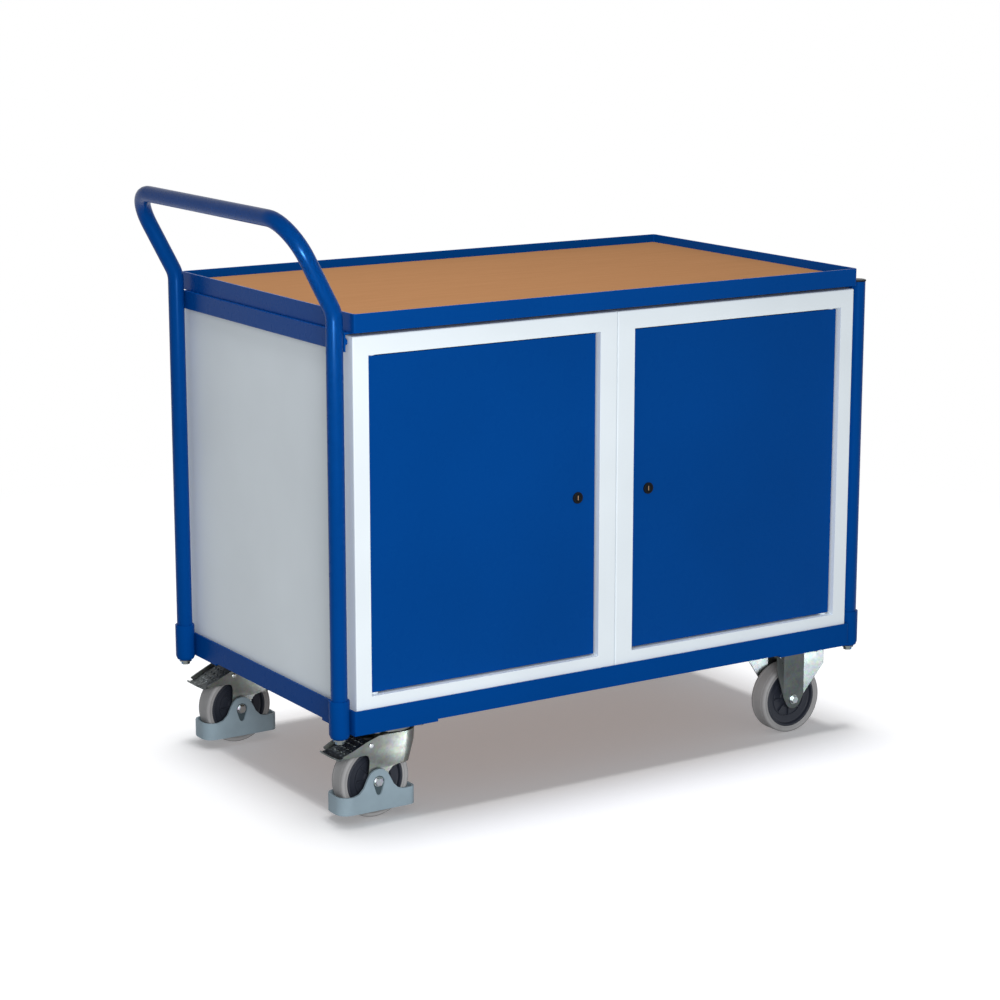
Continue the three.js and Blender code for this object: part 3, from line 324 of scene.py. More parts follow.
materials = {
    "blue_paint": powder_coat("blue_paint", BLUE, PAINT_GLOSS, PAINT_LEVEL, BLUE_SHEEN)[0].material,
    "blue_frame_paint": frame_paint(),
    "grey_paint": powder_coat("grey_paint", PALE_GREY, GREY_GLOSS, GREY_LEVEL, WHITE)[0].material,
    "deck_wood": wood_board(),
    "zinc": zinc_plate("zinc", ZINC, roughness=0.32),
    "bright_zinc": zinc_plate("bright_zinc", BRIGHT_ZINC, roughness=0.22),
    "bolt_zinc": zinc_plate("bolt_zinc", BOLT_ZINC, roughness=0.2),
    # a darker copy of the zinc: painted shade for the fixed forks
    "shaded_zinc": zinc_plate("shaded_zinc", DARK_ZINC, roughness=0.3),
    "lock_metal": zinc_plate("lock_metal", BRONZE, roughness=0.3),
    "glint_mottled_zinc": glint_mottled_zinc(),
    "tyre": moulded("tyre", TYRE_GREY, roughness=0.7, grain=0.2, level=0.2),
    "hub_plastic": moulded("hub_plastic", HUB_DARK, roughness=0.4),
    "guard_plastic": moulded("guard_plastic", GUARD_GREY, roughness=0.5, grain=0.08, level=0.2),
    # painted shade for the floors of the bolt recesses
    "recess_shade_plastic": moulded("recess_shade_plastic", RECESS_SHADE_GREY, roughness=0.6, level=0.1),
    "black_plastic": moulded("black_plastic", BLACK, roughness=0.4, level=0.08),
    "bush_plastic": moulded("bush_plastic", PALE_GREY, roughness=0.5),
}

# Nodes whose look differs from the rest of their slot
LOOKS = {
    "bottom_frame": "blue_frame_paint",
    # the pedal's zinc has painted glints in its bright spots
    "brake_pedal": "glint_mottled_zinc",
    # the fixed forks take the darker zinc as painted shade
    "fixed_fork": "shaded_zinc",
    "lock_cylinder": "black_plastic",
    "hinge_pin": "bush_plastic",
}


# Rounded edges and smooth shading, as modifiers

SMOOTH_ANGLE = math.radians(34)
FORK_SMOOTH_ANGLE = math.radians(25)
BEVEL_ANGLE = math.radians(40)
EDGE_ROUND = 0.5 * MM
FOLD_ROUND = 2.2 * MM
EDGE_STEPS = 2
FOLD_STEPS = 3
TOUCHING = 0.01 * MM
ONE_FACE = 1.5  # an edge of the box lies on more of its faces than this, and other edges on fewer


def new_group(name):
    group = bpy.data.node_groups.new(name, "GeometryNodeTree")
    group.interface.new_socket("Geometry", in_out="INPUT", socket_type="NodeSocketGeometry")
    group.interface.new_socket("Geometry", in_out="OUTPUT", socket_type="NodeSocketGeometry")
    return group, group.nodes.new("NodeGroupInput").outputs[0], group.nodes.new("NodeGroupOutput").inputs[0]


def smooth_by_angle(name, limit):
    """A node group that shades smooth all but the edges sharper than a limit."""
    group, start, end = new_group(name)
    faces = group.nodes.new("GeometryNodeSetShadeSmooth")
    edges = group.nodes.new("GeometryNodeSetShadeSmooth")
    edges.domain = "EDGE"
    angle = group.nodes.new("GeometryNodeInputMeshEdgeAngle")
    under = group.nodes.new("ShaderNodeMath")
    under.operation = "LESS_THAN"
    under.inputs[1].default_value = limit
    group.links.new(start, faces.inputs["Geometry"])
    group.links.new(faces.outputs[0], edges.inputs["Geometry"])
    group.links.new(angle.outputs["Unsigned Angle"], under.inputs[0])
    group.links.new(under.outputs[0], edges.inputs["Shade Smooth"])
    group.links.new(edges.outputs[0], end)
    return group


def mark_outer_edges():
    """A node group that gives bevel weight to the edges that run along the mesh's own box."""
    group, start, end = new_group("outer_edges")

    def join(kind, operation, first, second):
        node = group.nodes.new(kind)
        node.operation = operation
        for socket, value in zip(node.inputs, (first, second)):
            if isinstance(value, (float, tuple)):
                socket.default_value = value
            else:
                group.links.new(value, socket)
        return node.outputs[0]

    ends = group.nodes.new("GeometryNodeInputMeshEdgeVertices")
    box = group.nodes.new("GeometryNodeBoundBox")
    group.links.new(start, box.inputs["Geometry"])
    both = join("ShaderNodeVectorMath", "ADD", ends.outputs["Position 1"], ends.outputs["Position 2"])
    middle = join("ShaderNodeVectorMath", "MULTIPLY", both, (0.5, 0.5, 0.5))
    from_low = join("ShaderNodeVectorMath", "SUBTRACT", middle, box.outputs["Min"])
    from_high = join("ShaderNodeVectorMath", "SUBTRACT", box.outputs["Max"], middle)
    near = group.nodes.new("ShaderNodeSeparateXYZ")
    group.links.new(join("ShaderNodeVectorMath", "MINIMUM", from_low, from_high), near.inputs[0])
    flags = [join("ShaderNodeMath", "LESS_THAN", near.outputs[axis], TOUCHING) for axis in range(3)]
    count = join("ShaderNodeMath", "ADD", join("ShaderNodeMath", "ADD", flags[0], flags[1]), flags[2])
    store = group.nodes.new("GeometryNodeStoreNamedAttribute")
    store.domain = "EDGE"
    store.inputs["Name"].default_value = "bevel_weight_edge"
    group.links.new(start, store.inputs["Geometry"])
    group.links.new(join("ShaderNodeMath", "GREATER_THAN", count, ONE_FACE), store.inputs["Value"])
    group.links.new(store.outputs[0], end)
    return group


SMOOTHING = smooth_by_angle("smooth", SMOOTH_ANGLE)
FORK_SMOOTHING = smooth_by_angle("smooth_fork", FORK_SMOOTH_ANGLE)
OUTER_EDGES = mark_outer_edges()


def bevel(obj, name, width, limit, segments=EDGE_STEPS):
    rounding = obj.modifiers.new(name, "BEVEL")
    rounding.width = width
    rounding.segments = segments
    rounding.limit_method = limit
    rounding.angle_limit = BEVEL_ANGLE
    rounding.use_clamp_overlap = limit == "ANGLE"


def soften(obj, width=EDGE_ROUND, fold=0.0, smoothing=SMOOTHING):
    obj.modifiers.new("weld", "WELD").merge_threshold = TOUCHING
    if fold:
        obj.modifiers.new("outer_edges", "NODES").node_group = OUTER_EDGES
        bevel(obj, "folds", fold, "WEIGHT", FOLD_STEPS)
    if width:
        bevel(obj, "edges", width, "ANGLE")
    obj.modifiers.new("smooth", "NODES").node_group = smoothing
    flat = obj.modifiers.new("flat_faces", "WEIGHTED_NORMAL")
    flat.keep_sharp = True


# The CAD nodes, with their own looks

def slots_by_node():
    return {part["node"]: part["material_slot"] for part in frame["record"]["subparts"]}


def look_of(name, slot):
    return next((look for part, look in LOOKS.items() if part in name), slot)


def dress_nodes():
    for name, slot in slots_by_node().items():
        node = nodes[name]
        node.data.materials.clear()
        node.data.materials.append(materials[look_of(name, slot)])
        if name.startswith("fixed_fork"):
            soften(node, smoothing=FORK_SMOOTHING)
        else:
            soften(node, fold=FOLD_ROUND if name.endswith("_cabinet") else 0.0)


dress_nodes()


# Shapes for the fine pieces: points in millimetres and the faces between them

TURN_STEPS = 96
SMALL_STEPS = 32
CORNER_STEPS = 12
AXES = {
    "x": lambda across, up, along: Vector((along, across, up)),
    "y": lambda across, up, along: Vector((across, along, up)),
    "z": lambda across, up, along: Vector((across, up, along)),
}


def box_of(node):
    """The low corner, the high corner and the middle of a node, in millimetres."""
    low, high = (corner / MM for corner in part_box(node))
    return low, high, (low + high) / 2


def turned(profile, centre, axis="z", steps=TURN_STEPS, ring=False):
    """A profile of (radius, along) pairs turned round an axis: a ring, or a body with end faces."""
    count = len(profile)
    points = []
    for step in range(steps):
        turn = 2 * math.pi * step / steps
        for radius, along in profile:
            points.append(centre + AXES[axis](radius * math.cos(turn), radius * math.sin(turn), along))
    faces = []
    for step in range(steps):
        here, there = step * count, (step + 1) % steps * count
        for i in range(count if ring else count - 1):
            j = (i + 1) % count
            faces.append((here + i, here + j, there + j, there + i))
    if not ring:
        faces.append([step * count for step in range(steps)])
        faces.append([step * count + count - 1 for step in range(steps)])
    return points, faces


def both_ways(half):
    """A profile and its mirror image at the other side of the middle, as one ring."""
    return half + [(radius, -along) for radius, along in reversed(half)]


def slab(low, high):
    """A box: its corners run through X, then Y, then Z."""
    points = [Vector((x, y, z)) for x in (low.x, high.x) for y in (low.y, high.y) for z in (low.z, high.z)]
    return points, [(0, 1, 3, 2), (4, 6, 7, 5), (0, 4, 5, 1), (2, 3, 7, 6), (0, 2, 6, 4), (1, 5, 7, 3)]


def spun(shape, centre, share):
    """The shape turned about Y round a centre, by a share of a full turn."""
    cosine, sine = math.cos(2 * math.pi * share), math.sin(2 * math.pi * share)
    points = []
    for point in shape[0]:
        arm = point - centre
        x, z = arm.x * cosine - arm.z * sine, arm.x * sine + arm.z * cosine
        points.append(centre + Vector((x, arm.y, z)))
    return points, shape[1]


def swept(path, radius, steps):
    """A round bar along a path that starts across Y, its section carried on without a twist."""
    points = []
    side = Vector((0, 1, 0))
    for i, place in enumerate(path):
        along = (path[min(i + 1, len(path) - 1)] - path[max(i - 1, 0)]).normalized()
        side = (side - along * side.dot(along)).normalized()
        up = along.cross(side)
        for step in range(steps):
            turn = 2 * math.pi * step / steps
            points.append(place + (side * math.cos(turn) + up * math.sin(turn)) * radius)
    faces = []
    for i in range(len(path) - 1):
        for step in range(steps):
            here, there = i * steps, (i + 1) * steps
            after = (step + 1) % steps
            faces.append((here + step, here + after, there + after, there + step))
    faces.append(list(range(steps)))
    faces.append([(len(path) - 1) * steps + step for step in range(steps)])
    return points, faces


def rounded_corner(before, corner, after, radius):
    """The points of an arc that rounds the corner of a path."""
    back = (before - corner).normalized()
    ahead = (after - corner).normalized()
    half = back.angle(ahead) / 2
    reach = radius / math.tan(half)
    middle = corner + (back + ahead).normalized() * radius / math.sin(half)
    first = corner + back * reach - middle
    last = corner + ahead * reach - middle
    shares = [step / CORNER_STEPS for step in range(CORNER_STEPS + 1)]
    return [middle + first.slerp(last, share).normalized() * radius for share in shares]


bodies_by_node = {
    node: body for body, carried in frame["record"]["behaviour"]["bodies"].items() for node in carried
}


def add_piece(name, shapes, material, near, replaces=False):
    """A piece made of shapes, carried by the body of the node that it belongs to."""
    points, faces = [], []
    for shape_points, shape_faces in shapes:
        first = len(points)
        points += [point * MM for point in shape_points]
        faces += [[first + corner for corner in face] for face in shape_faces]
    mesh = bpy.data.meshes.new(name)
    mesh.from_pydata(points, [], faces)
    shell = bmesh.new()
    shell.from_mesh(mesh)
    bmesh.ops.recalc_face_normals(shell, faces=shell.faces)
    shell.to_mesh(mesh)
    shell.free()
    mesh.materials.append(materials[material])
    obj = bpy.data.objects.new(name, mesh)
    scene.collection.objects.link(obj)
    soften(obj, width=0.0)
    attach(obj, bodies_by_node[near])
    if replaces:
        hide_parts(near)
    return obj


# Wheels

TYRE_DEPTH = 11.0
TYRE_FIT = 0.1  # between the tyre and the rim below it, from the middle of the gap to each
SIDE_STEP = 0.5  # across each small step in the side of a tyre
LIP_WIDTH = 2.0  # of the ring of a tyre next to the rim
LIP_RISE = 0.6
LIP_CHAMFER = 0.4
LINE_WIDTH = 0.6  # of the fine line round the lip
WALL_RISE = 1.0
SHOULDER = [(4.4, 0.0), (2.6, 0.4), (1.1, 1.6), (0.3, 3.4), (0.0, 5.4)]  # in from tread and side
GROOVE_PLACE = 8.7  # from the side of the tyre to the middle of the groove in its tread
GROOVE_HALF = 0.5
GROOVE_DEPTH = 0.7

RIM_HALF = 16.5
RIM_WALL = 4.4
RIM_CHAMFER = 0.7
RIM_EDGE_WIDTH = 0.9
RIM_EDGE_DROP = 1.2
RIM_FOOT_REACH = 3.2
RIM_FOOT_TOP = 0.8
RIM_FOOT_RISE = 1.6
DISH_HALF = 9.4
RING_RADIUS = 33.0
RING_HALF = 0.8
RING_FOOT = 0.8
RING_RISE = 1.8
BOSS_RADIUS = 16.0
BOSS_HALF = 19.9
BOSS_TAPER = 1.4
BOSS_FOOT_REACH = 2.2
BOSS_FOOT_RISE = 2.6
HUB_BORE = 6.8
HUB_CHAMFER = 0.8
BORE_CHAMFER = 0.9
RIB_COUNT = 8
RIB_HALF = 1.1
RIB_RISE = 3.4
RIB_SINK = 1.0  # into the boss, and short of the middle of the ring


def tyre_profile(radius, half):
    """Bore, two fine rings on the side, round shoulder and a groove at the edge of the tread."""
    bore = radius - TYRE_DEPTH + TYRE_FIT
    line = bore + LIP_WIDTH + SIDE_STEP
    wall = line + LINE_WIDTH + SIDE_STEP
    groove = half - GROOVE_PLACE
    side = [
        (bore, RIM_HALF - LIP_CHAMFER), (bore + SIDE_STEP, RIM_HALF + LIP_CHAMFER / 2),
        (bore + LIP_WIDTH, RIM_HALF + LIP_RISE), (line, RIM_HALF), (line + LINE_WIDTH, RIM_HALF),
        (wall, RIM_HALF + WALL_RISE),
    ]
    shoulder = [(radius - from_tread, half - from_side) for from_tread, from_side in SHOULDER]
    tread = [
        (radius, groove + GROOVE_HALF), (radius - GROOVE_DEPTH, groove), (radius, groove - GROOVE_HALF),
    ]
    return both_ways(side + shoulder + tread)


def hub_profile(radius):
    """Rim, deep dish with a raised ring, and the boss round the bore."""
    rim = radius - TYRE_DEPTH - TYRE_FIT
    inner = rim - RIM_WALL
    boss_edge = BOSS_RADIUS - BOSS_TAPER
    boss = [
        (HUB_BORE, BOSS_HALF - BORE_CHAMFER), (HUB_BORE + HUB_CHAMFER, BOSS_HALF),
        (boss_edge - HUB_CHAMFER, BOSS_HALF), (boss_edge, BOSS_HALF - HUB_CHAMFER),
        (BOSS_RADIUS, DISH_HALF + BOSS_FOOT_RISE), (BOSS_RADIUS + BOSS_FOOT_REACH, DISH_HALF),
    ]
    ring = [
        (RING_RADIUS - RING_HALF - RING_FOOT, DISH_HALF), (RING_RADIUS - RING_HALF, DISH_HALF + RING_RISE),
        (RING_RADIUS + RING_HALF, DISH_HALF + RING_RISE), (RING_RADIUS + RING_HALF + RING_FOOT, DISH_HALF),
    ]
    edge = [
        (inner - RIM_FOOT_REACH, DISH_HALF), (inner - RIM_FOOT_TOP, DISH_HALF + RIM_FOOT_RISE),
        (inner, RIM_HALF - RIM_EDGE_DROP), (inner + RIM_EDGE_WIDTH, RIM_HALF),
        (rim - RIM_CHAMFER, RIM_HALF), (rim, RIM_HALF - RIM_CHAMFER),
    ]
    return both_ways(boss + ring + edge)


def hub_ribs(centre):
    """Short ribs on both faces of the dish, from the boss to the ring."""
    ribs = []
    for side in (-1, 1):
        levels = sorted((side * DISH_HALF, side * (DISH_HALF + RIB_RISE)))
        rib = slab(centre + Vector((BOSS_RADIUS - RIB_SINK, levels[0], -RIB_HALF)),
                   centre + Vector((RING_RADIUS - RIB_SINK, levels[1], RIB_HALF)))
        ribs += [spun(rib, centre, step / RIB_COUNT) for step in range(RIB_COUNT)]
    return ribs


def add_wheel(kind, end):
    tyre, hub = f"{kind}_tyre_{end}", f"{kind}_hub_{end}"
    low, high, centre = box_of(tyre)
    radius, half = (high.z - low.z) / 2, (high.y - low.y) / 2
    tread = turned(tyre_profile(radius, half), centre, "y", ring=True)
    add_piece(f"fine_{tyre}", [tread], "tyre", tyre, replaces=True)
    dish = turned(hub_profile(radius), centre, "y", ring=True)
    add_piece(f"fine_{hub}", [dish] + hub_ribs(centre), "hub_plastic", hub, replaces=True)


# Bolts, rivets and studs

HEX_SIDES = 6
HEX_ROUND = 0.9
HEX_FACE_SHARE = 0.87  # of the width of a head, left flat on its face
DISC_ROUND = 0.3
DOME_TURNS = [math.radians(angle) for angle in (0, 22, 45, 66, 82)]


def hexagon(centre, axis, radius, start, end):
    """A chamfered hexagon head or nut, its free face at the end."""
    way = 1 if end > start else -1
    profile = [(radius, start), (radius, end - way * HEX_ROUND), (radius * HEX_FACE_SHARE, end)]
    return turned(profile, centre, axis, HEX_SIDES)


def disc(centre, axis, radius, start, end):
    way = 1 if end > start else -1
    profile = [(radius, start), (radius, end - way * DISC_ROUND), (radius - DISC_ROUND, end)]
    return turned(profile, centre, axis, SMALL_STEPS)


def dome(centre, axis, radius, start, end):
    """A low round head."""
    rise = end - start
    profile = [(radius * math.cos(turn), start + rise * math.sin(turn)) for turn in DOME_TURNS]
    return turned(profile, centre, axis, SMALL_STEPS)


BOLT_SHANK = 4.0
BOLT_HEAD = 7.5
BOLT_WASHER = 8.6
WASHER_HEIGHT = 1.2
BOLT_HEAD_HEIGHT = 5.3  # with the washer under it
NUT_HEIGHT = 6.5  # with its washer
HEAD_SINK = 1.0  # from the face of the head in to the end of the shank


def add_axle_bolt(node):
    """Head at the front, nut at the rear, a washer under each."""
    low, high, centre = box_of(node)
    front, rear = low.y - centre.y, high.y - centre.y
    seat = -front - BOLT_HEAD_HEIGHT
    shapes = [
        disc(centre, "y", BOLT_SHANK, front + HEAD_SINK, rear),
        disc(centre, "y", BOLT_WASHER, -seat, -seat - WASHER_HEIGHT),
        hexagon(centre, "y", BOLT_HEAD, -seat - WASHER_HEIGHT, front),
        disc(centre, "y", BOLT_WASHER, seat, seat + WASHER_HEIGHT),
        hexagon(centre, "y", BOLT_HEAD, seat + WASHER_HEIGHT, seat + NUT_HEIGHT),
    ]
    add_piece(f"fine_{node}", shapes, "bolt_zinc", node, replaces=True)


RIVET_HEAD_HEIGHT = 1.6
RIVET_SHANK_SHARE = 0.7  # of the width of the head


def add_rivet(node):
    low, high, centre = box_of(node)
    radius, reach = (high.z - low.z) / 2, (high.y - low.y) / 2
    seat = reach - RIVET_HEAD_HEIGHT
    shapes = [disc(centre, "y", radius * RIVET_SHANK_SHARE, -seat, seat)]
    shapes += [dome(centre, "y", radius, way * seat, way * reach) for way in (-1, 1)]
    add_piece(f"fine_{node}", shapes, "bright_zinc", node, replaces=True)


STUD_RADIUS = 2.6
STUD_RISE = 1.1
STUD_SINK = 0.6
STUD_PITCH = 10.0
STUD_ROWS = 4
STUD_COLUMNS = (-2, -1, 0, 1, 2)
FIRST_STUD = 8.0  # from the pin back to the first row
STUDDED_HALF = 22.0  # of the width of the tread that carries studs
TREAD_RISE = 5.5
TREAD_SLOPE = math.radians(24.5)


def add_studs(end):
    """Rows of grip studs pressed up in the tread of a pedal."""
    pin = box_of(f"pedal_pin_{end}")[2]
    shapes = []
    for row in range(STUD_ROWS):
        behind = FIRST_STUD + row * STUD_PITCH
        height = TREAD_RISE - behind * math.tan(TREAD_SLOPE) - STUD_SINK
        shift = STUD_PITCH / 2 if row % 2 else 0
        places = [column * STUD_PITCH + shift for column in STUD_COLUMNS]
        for across in places:
            if abs(across) < STUDDED_HALF:
                foot = pin + Vector((-behind, across, height))
                shapes.append(dome(foot, "z", STUD_RADIUS, 0, STUD_RISE + STUD_SINK))
    add_piece(f"studs_{end}", shapes, "glint_mottled_zinc", f"brake_pedal_{end}")


# Painted shade: dark sheets on the floors of the axle bolts' recesses in the foot guards

RECESS_RADIUS = 9.9
RECESS_TAIL_RADIUS = 4.4
RECESS_TAIL = 17.5
RECESS_DEPTH = 2.5
SHADE_SHEET_THICKNESS = 0.5
SHADE_SHEET_GAP = 0.1


def drop_outline(centre):
    """The outline of a round with a smaller round below it, and their tangents."""
    joint = math.asin((RECESS_RADIUS - RECESS_TAIL_RADIUS) / RECESS_TAIL)
    tail = centre - Vector((0, 0, RECESS_TAIL))
    outline = []
    for middle, radius, start, end in ((centre, RECESS_RADIUS, -joint, math.pi + joint),
                                       (tail, RECESS_TAIL_RADIUS, math.pi + joint, 2 * math.pi - joint)):
        for step in range(SMALL_STEPS + 1):
            turn = start + (end - start) * step / SMALL_STEPS
            outline.append(middle + Vector((math.cos(turn), 0, math.sin(turn))) * radius)
    return outline


# Painted shade: a dark sheet on the floor of each bolt recess, where the recess lies in shade
def add_recess_shade_sheets(end):
    guard = f"foot_guard_{end}"
    low, high, _ = box_of(guard)
    outline = drop_outline(box_of(f"swivel_axle_bolt_{end}")[2])
    count = len(outline)
    sides = [(i, (i + 1) % count, (i + 1) % count + count, i + count) for i in range(count)]
    ends = [list(range(count)), list(range(count, 2 * count))]
    shapes = []
    for face, way in ((low.y, 1), (high.y, -1)):
        far = face + way * (RECESS_DEPTH - SHADE_SHEET_GAP)
        near = far - way * SHADE_SHEET_THICKNESS
        points = [Vector((point.x, y, point.z)) for y in (near, far) for point in outline]
        shapes.append((points, sides + ends))
    add_piece(f"painted_recess_shade_{end}", shapes, "recess_shade_plastic", guard)


# Push handle and post caps

HANDLE_BEND = 45.0
HANDLE_CORNER = 66.0
HANDLE_LEAN = math.radians(27.7)
HANDLE_STEPS = 64


def add_handle():
    low, high, _ = box_of("handle_bow")
    post_low, post_high, _ = box_of("far_post_front")
    radius = (post_high.x - post_low.x) / 2
    deck_top = box_of("deck_frame")[1].z
    grip_height, grip_x = high.z - radius, low.x + radius
    tube_x = grip_x + (grip_height - deck_top) * math.tan(HANDLE_LEAN)
    corners = []
    for y, order in ((low.y + radius, 1), (high.y - radius, -1)):
        side = [Vector((tube_x, y, low.z)), Vector((tube_x, y, deck_top)), Vector((grip_x, y, grip_height))]
        corners += side[::order]
    bends = [HANDLE_BEND, HANDLE_CORNER, HANDLE_CORNER, HANDLE_BEND]
    path = [corners[0]]
    for before, corner, after, bend in zip(corners, corners[1:], corners[2:], bends):
        path += rounded_corner(before, corner, after, bend)
    path.append(corners[-1])
    tube = swept(path, radius, HANDLE_STEPS)
    return add_piece("fine_handle_bow", [tube], "blue_paint", "handle_bow", replaces=True)


CAP_HEAD_HEIGHT = 2.8
CAP_PLUG = 11.1
CAP_EDGE = [(0.0, 1.2), (0.5, 0.4), (1.6, 0.0)]  # in from the side and down from the top


def add_post_cap(end):
    node = f"post_cap_{end}"
    low, high, centre = box_of(node)
    head = (high.x - low.x) / 2
    bottom, top = low.z - centre.z, high.z - centre.z
    seat = top - CAP_HEAD_HEIGHT
    edge = [(head - from_side, top - from_top) for from_side, from_top in CAP_EDGE]
    profile = [(CAP_PLUG, bottom), (CAP_PLUG, seat), (head, seat)] + edge
    cap = turned(profile, centre)
    add_piece(f"fine_{node}", [cap], "black_plastic", node, replaces=True)


# Cam locks

BEZEL_RADIUS = 9.7
BEZEL_HEIGHT = 2.5
BEZEL_PROUD = 0.2  # before the front of the housing, and as far behind it at the inner edge
BEZEL_INNER_CHAMFER = 0.7
BEZEL_EDGE = [(0.9, 0.0), (0.2, 0.7), (0.0, 1.4)]  # in from the side and back from the face
PLUG_RADIUS = 6.4
KEYWAY_HALF = 0.9
KEYWAY_RISE = 3.9
KEYWAY_SINK = 0.5
KEYWAY_BACK = 3.0


def add_lock(side):
    housing, cylinder = f"{side}_lock_housing", f"{side}_lock_cylinder"
    centre = box_of(cylinder)[2]
    centre.y = box_of(housing)[0].y
    profile = [(PLUG_RADIUS, BEZEL_PROUD), (PLUG_RADIUS + BEZEL_INNER_CHAMFER, -BEZEL_PROUD)]
    profile += [(BEZEL_RADIUS - from_side, from_face - BEZEL_PROUD) for from_side, from_face in BEZEL_EDGE]
    profile += [(BEZEL_RADIUS, BEZEL_HEIGHT), (PLUG_RADIUS, BEZEL_HEIGHT)]
    bezel = turned(profile, centre, "y", ring=True)
    add_piece(f"{side}_lock_ring", [bezel], "black_plastic", housing)
    keyway = slab(centre + Vector((-KEYWAY_HALF, KEYWAY_SINK, -KEYWAY_RISE)),
                  centre + Vector((KEYWAY_HALF, KEYWAY_BACK, KEYWAY_RISE)))
    add_piece(f"{side}_keyway", [keyway], "lock_metal", cylinder)


# Screws that hold the cabinets down to the bottom platform

SCREW_INSET = 60.0
SCREW_HEAD = 6.0
SCREW_RISE = 3.0
SHEET = 1.5


def add_floor_screws(side):
    cabinet = f"{side}_cabinet"
    low, high, _ = box_of(cabinet)
    shapes = []
    for x in (low.x + SCREW_INSET, high.x - SCREW_INSET):
        for y in (low.y + SCREW_INSET, high.y - SCREW_INSET):
            shapes.append(dome(Vector((x, y, low.z + SHEET)), "z", SCREW_HEAD, 0, SCREW_RISE))
    add_piece(f"{side}_floor_screws", shapes, "bright_zinc", cabinet)


for end in ("front", "rear"):
    for kind in ("swivel", "fixed"):
        add_wheel(kind, end)
        add_axle_bolt(f"{kind}_axle_bolt_{end}")
    add_rivet(f"pedal_pin_{end}")
    add_studs(end)
    add_recess_shade_sheets(end)
    add_post_cap(end)
for side in ("left", "right"):
    add_lock(side)
    add_floor_screws(side)
handle = add_handle()


# Studio: a white floor that keeps the shadow, soft lamps, and boards that metal mirrors

FLOOR_HALF = 30.0
FLOOR_ROUGHNESS = 0.9
FLOOR_LIGHT = (0.92, 0.92, 0.92, 1)
FLOOR_BOUNCE = (0.25, 0.25, 0.25, 1)
FLOOR_FILL = 0.6
FLOOR_GRAIN_SHARE = 0.99  # of the floor's light, in its darker spots
SHADE = linear(132, 131, 132)
NEAR = 1.7  # from the middle of the floor to where it starts to turn plain white
FAR = 2.4
WORLD_TINT = (0.95, 0.98, 1.0, 1)
WORLD_LIGHT = 0.25
SUN_PLACE = (0, 0.15, 3)
SUN_POWER = 2.2
SUN_ANGLE = math.radians(18)
TOP_LAMP = {"place": (-0.7, -0.3, 3.2), "target": (0, 0, 0.8), "power": 42, "width": 1.2}
KEY_LAMP = {"place": (-1.3, -2.8, 1.1), "target": (0, -0.2, 0.5), "power": 62, "width": 1.3}
BACK_LAMP = {"place": (2.6, 3.0, 1.0), "target": (0, 0, 0.5), "power": 70, "width": 1.5}
SWIVEL_BOARD = {"turn": math.radians(43), "reach": 0.17, "size": (0.03, 0.1), "power": 0.1}
FIXED_BOARD = {"turn": math.radians(-29), "reach": 0.55, "size": (0.26, 0.2), "power": 5.5}
GLINT_REACH = Vector((-0.187, -0.347, -0.17))
GLINT_SIZE = (0.04, 0.04)
GLINT_POWER = 24.0


def shown_rays(shader_tree):
    """One for the rays that show the background: camera, glossy and transmission."""
    rays = shader_tree.nodes.new("ShaderNodeLightPath")
    total = rays.outputs["Is Camera Ray"]
    for kind in ("Is Glossy Ray", "Is Transmission Ray"):
        both = shader_tree.nodes.new("ShaderNodeMath")
        both.operation = "ADD"
        both.use_clamp = True
        shader_tree.links.new(total, both.inputs[0])
        shader_tree.links.new(rays.outputs[kind], both.inputs[1])
        total = both.outputs[0]
    return total


def floor_material():
    """Shown, it keeps the shadow near the object and is plain white far out; unshown, it fills."""
    shade = Shader("floor", FLOOR_ROUGHNESS)
    shown = shown_rays(shade.tree)
    grain = shade.clouded(shade.noise(scale=2.0), tinted(FLOOR_LIGHT, FLOOR_GRAIN_SHARE), FLOOR_LIGHT)
    distance = shade.add("ShaderNodeVectorMath", operation="LENGTH")
    shade.link(shade.coordinates, distance.inputs[0])
    far = shade.span(distance.outputs["Value"], low=0.0, high=1.0, start=NEAR, end=FAR, smooth=True)
    shade.colour(shade.mix(shown, FLOOR_BOUNCE, shade.mix(far, grain, DARKNESS)))
    shade.specular(level=0.0)
    glow = shade.add("ShaderNodeEmission")
    white = shade.combined("MULTIPLY", far, shown)
    shade.link(shade.mix(white, SHADE, WHITE), glow.inputs["Color"])
    shade.link(shade.span(shown, low=FLOOR_FILL, high=1.0), glow.inputs["Strength"])
    both = shade.add("ShaderNodeAddShader")
    shade.link(shade.surface.outputs[0], both.inputs[0])
    shade.link(glow.outputs[0], both.inputs[1])
    shade.link(both.outputs[0], shade.tree.nodes["Material Output"].inputs["Surface"])
    return shade.material


def add_floor():
    mesh = bpy.data.meshes.new("floor")
    corners = [(x * FLOOR_HALF, y * FLOOR_HALF, 0) for x, y in ((-1, -1), (1, -1), (1, 1), (-1, 1))]
    mesh.from_pydata(corners, [], [(0, 1, 2, 3)])
    mesh.materials.append(floor_material())
    floor = bpy.data.objects.new("floor", mesh)
    scene.collection.objects.link(floor)
    return floor


def add_world():
    world = bpy.data.worlds.new("studio")
    world.use_nodes = True
    scene.world = world
    tree = world.node_tree
    light = tree.nodes["Background"]
    light.inputs["Color"].default_value = WORLD_TINT
    light.inputs["Strength"].default_value = WORLD_LIGHT
    white = tree.nodes.new("ShaderNodeBackground")
    white.inputs["Color"].default_value = WHITE
    both = tree.nodes.new("ShaderNodeMixShader")
    tree.links.new(shown_rays(tree), both.inputs["Fac"])
    tree.links.new(light.outputs[0], both.inputs[1])
    tree.links.new(white.outputs[0], both.inputs[2])
    tree.links.new(both.outputs[0], tree.nodes["World Output"].inputs["Surface"])


def add_lamp(name, kind, place, target, power):
    data = bpy.data.lights.new(name, kind)
    data.energy = power
    lamp = bpy.data.objects.new(name, data)
    scene.collection.objects.link(lamp)
    lamp.location = place
    lamp.rotation_euler = (Vector(target) - Vector(place)).to_track_quat("-Z", "Y").to_euler()
    return lamp


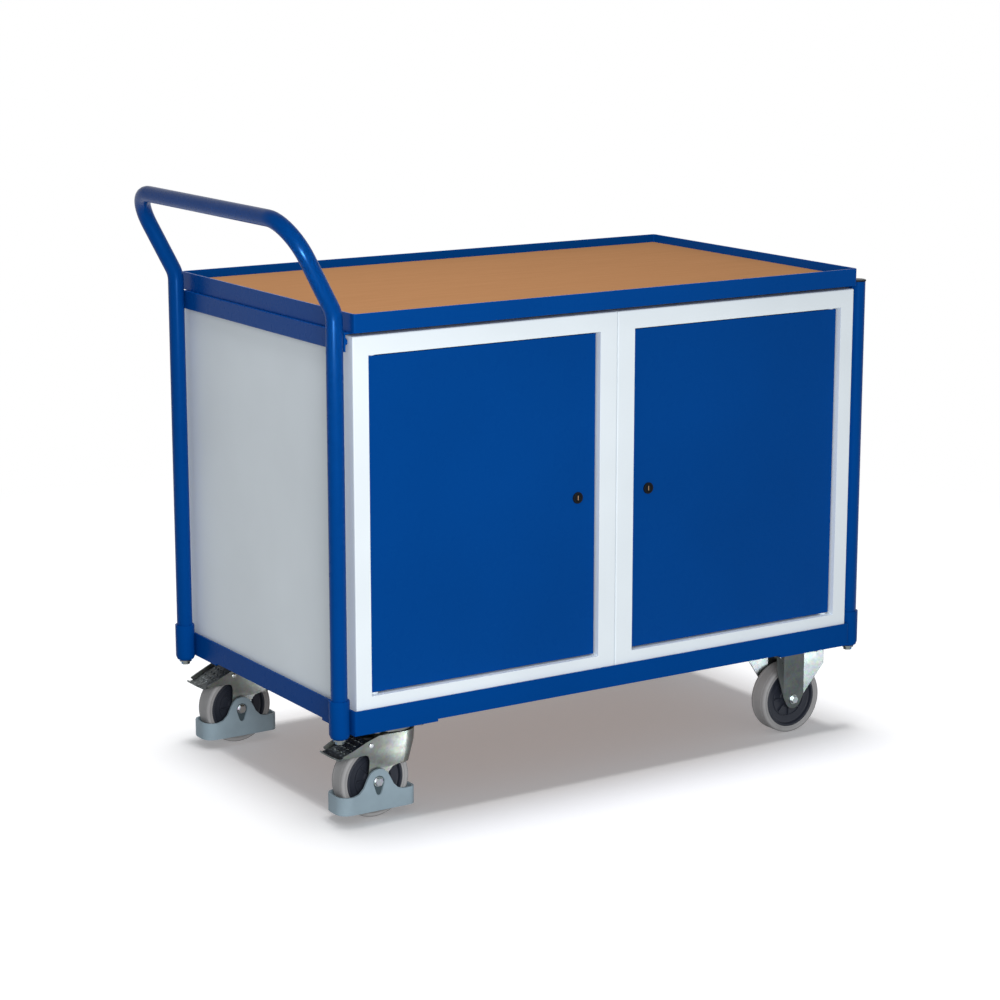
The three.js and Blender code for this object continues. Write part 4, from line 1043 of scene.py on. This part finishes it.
def add_panel(name, place, target, power, size):
    panel = add_lamp(name, "AREA", place, target, power)
    panel.data.shape = "RECTANGLE"
    panel.data.size, panel.data.size_y = size
    return panel


def light_only(lamp, objects, state="INCLUDE"):
    """Links a lamp to some objects alone, or with the state EXCLUDE to all but them."""
    lit = bpy.data.collections.new(f"lit_by_{lamp.name}")
    for obj in objects:
        lit.objects.link(obj)
    lamp.light_linking.receiver_collection = lit
    for linked in lit.collection_objects:
        linked.light_linking.link_state = state


def add_sun():
    """The sun lights the floor alone, and so gives the object its shadow."""
    sun = add_lamp("sun", "SUN", SUN_PLACE, (0, 0, 0), SUN_POWER)
    sun.data.angle = SUN_ANGLE
    light_only(sun, [floor])


def add_soft_lamp(name, unlit, place, target, power, width):
    lamp = add_panel(name, place, target, power, (width, width))
    light_only(lamp, unlit, "EXCLUDE")
    return lamp


def add_board(name, place, target, power, size, lit):
    """A board that only one object mirrors, and that gives it no plain light."""
    board = add_panel(name, place, target, power, size)
    board.visible_diffuse = False
    board.visible_camera = False
    light_only(board, [lit])


def add_fork_board(node, turn, reach, size, power):
    """A small board low beside a fork, on the side that its bright streak comes from."""
    centre = sum(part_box(node), Vector()) / 2
    place = centre + Vector((math.sin(turn), -math.cos(turn), 0)) * reach
    place.z = size[1] / 2
    add_board(f"{node}_board", place, centre, power, size, nodes[node])


def add_handle_glint():
    """The small bright spot on the front bend of the handle."""
    low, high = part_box("handle_bow")
    bend = Vector((low.x, low.y, high.z))
    add_board("handle_glint", bend + GLINT_REACH, bend, GLINT_POWER, GLINT_SIZE, handle)


floor = add_floor()
add_world()
add_sun()
add_soft_lamp("top_lamp", [floor, handle], **TOP_LAMP)
add_soft_lamp("key_lamp", [floor], **KEY_LAMP)
back_lamp = add_soft_lamp("back_lamp", [floor], **BACK_LAMP)
back_lamp.visible_glossy = False
for end in ("front", "rear"):
    add_fork_board(f"swivel_fork_{end}", **SWIVEL_BOARD)
    add_fork_board(f"fixed_fork_{end}", **FIXED_BOARD)
add_handle_glint()
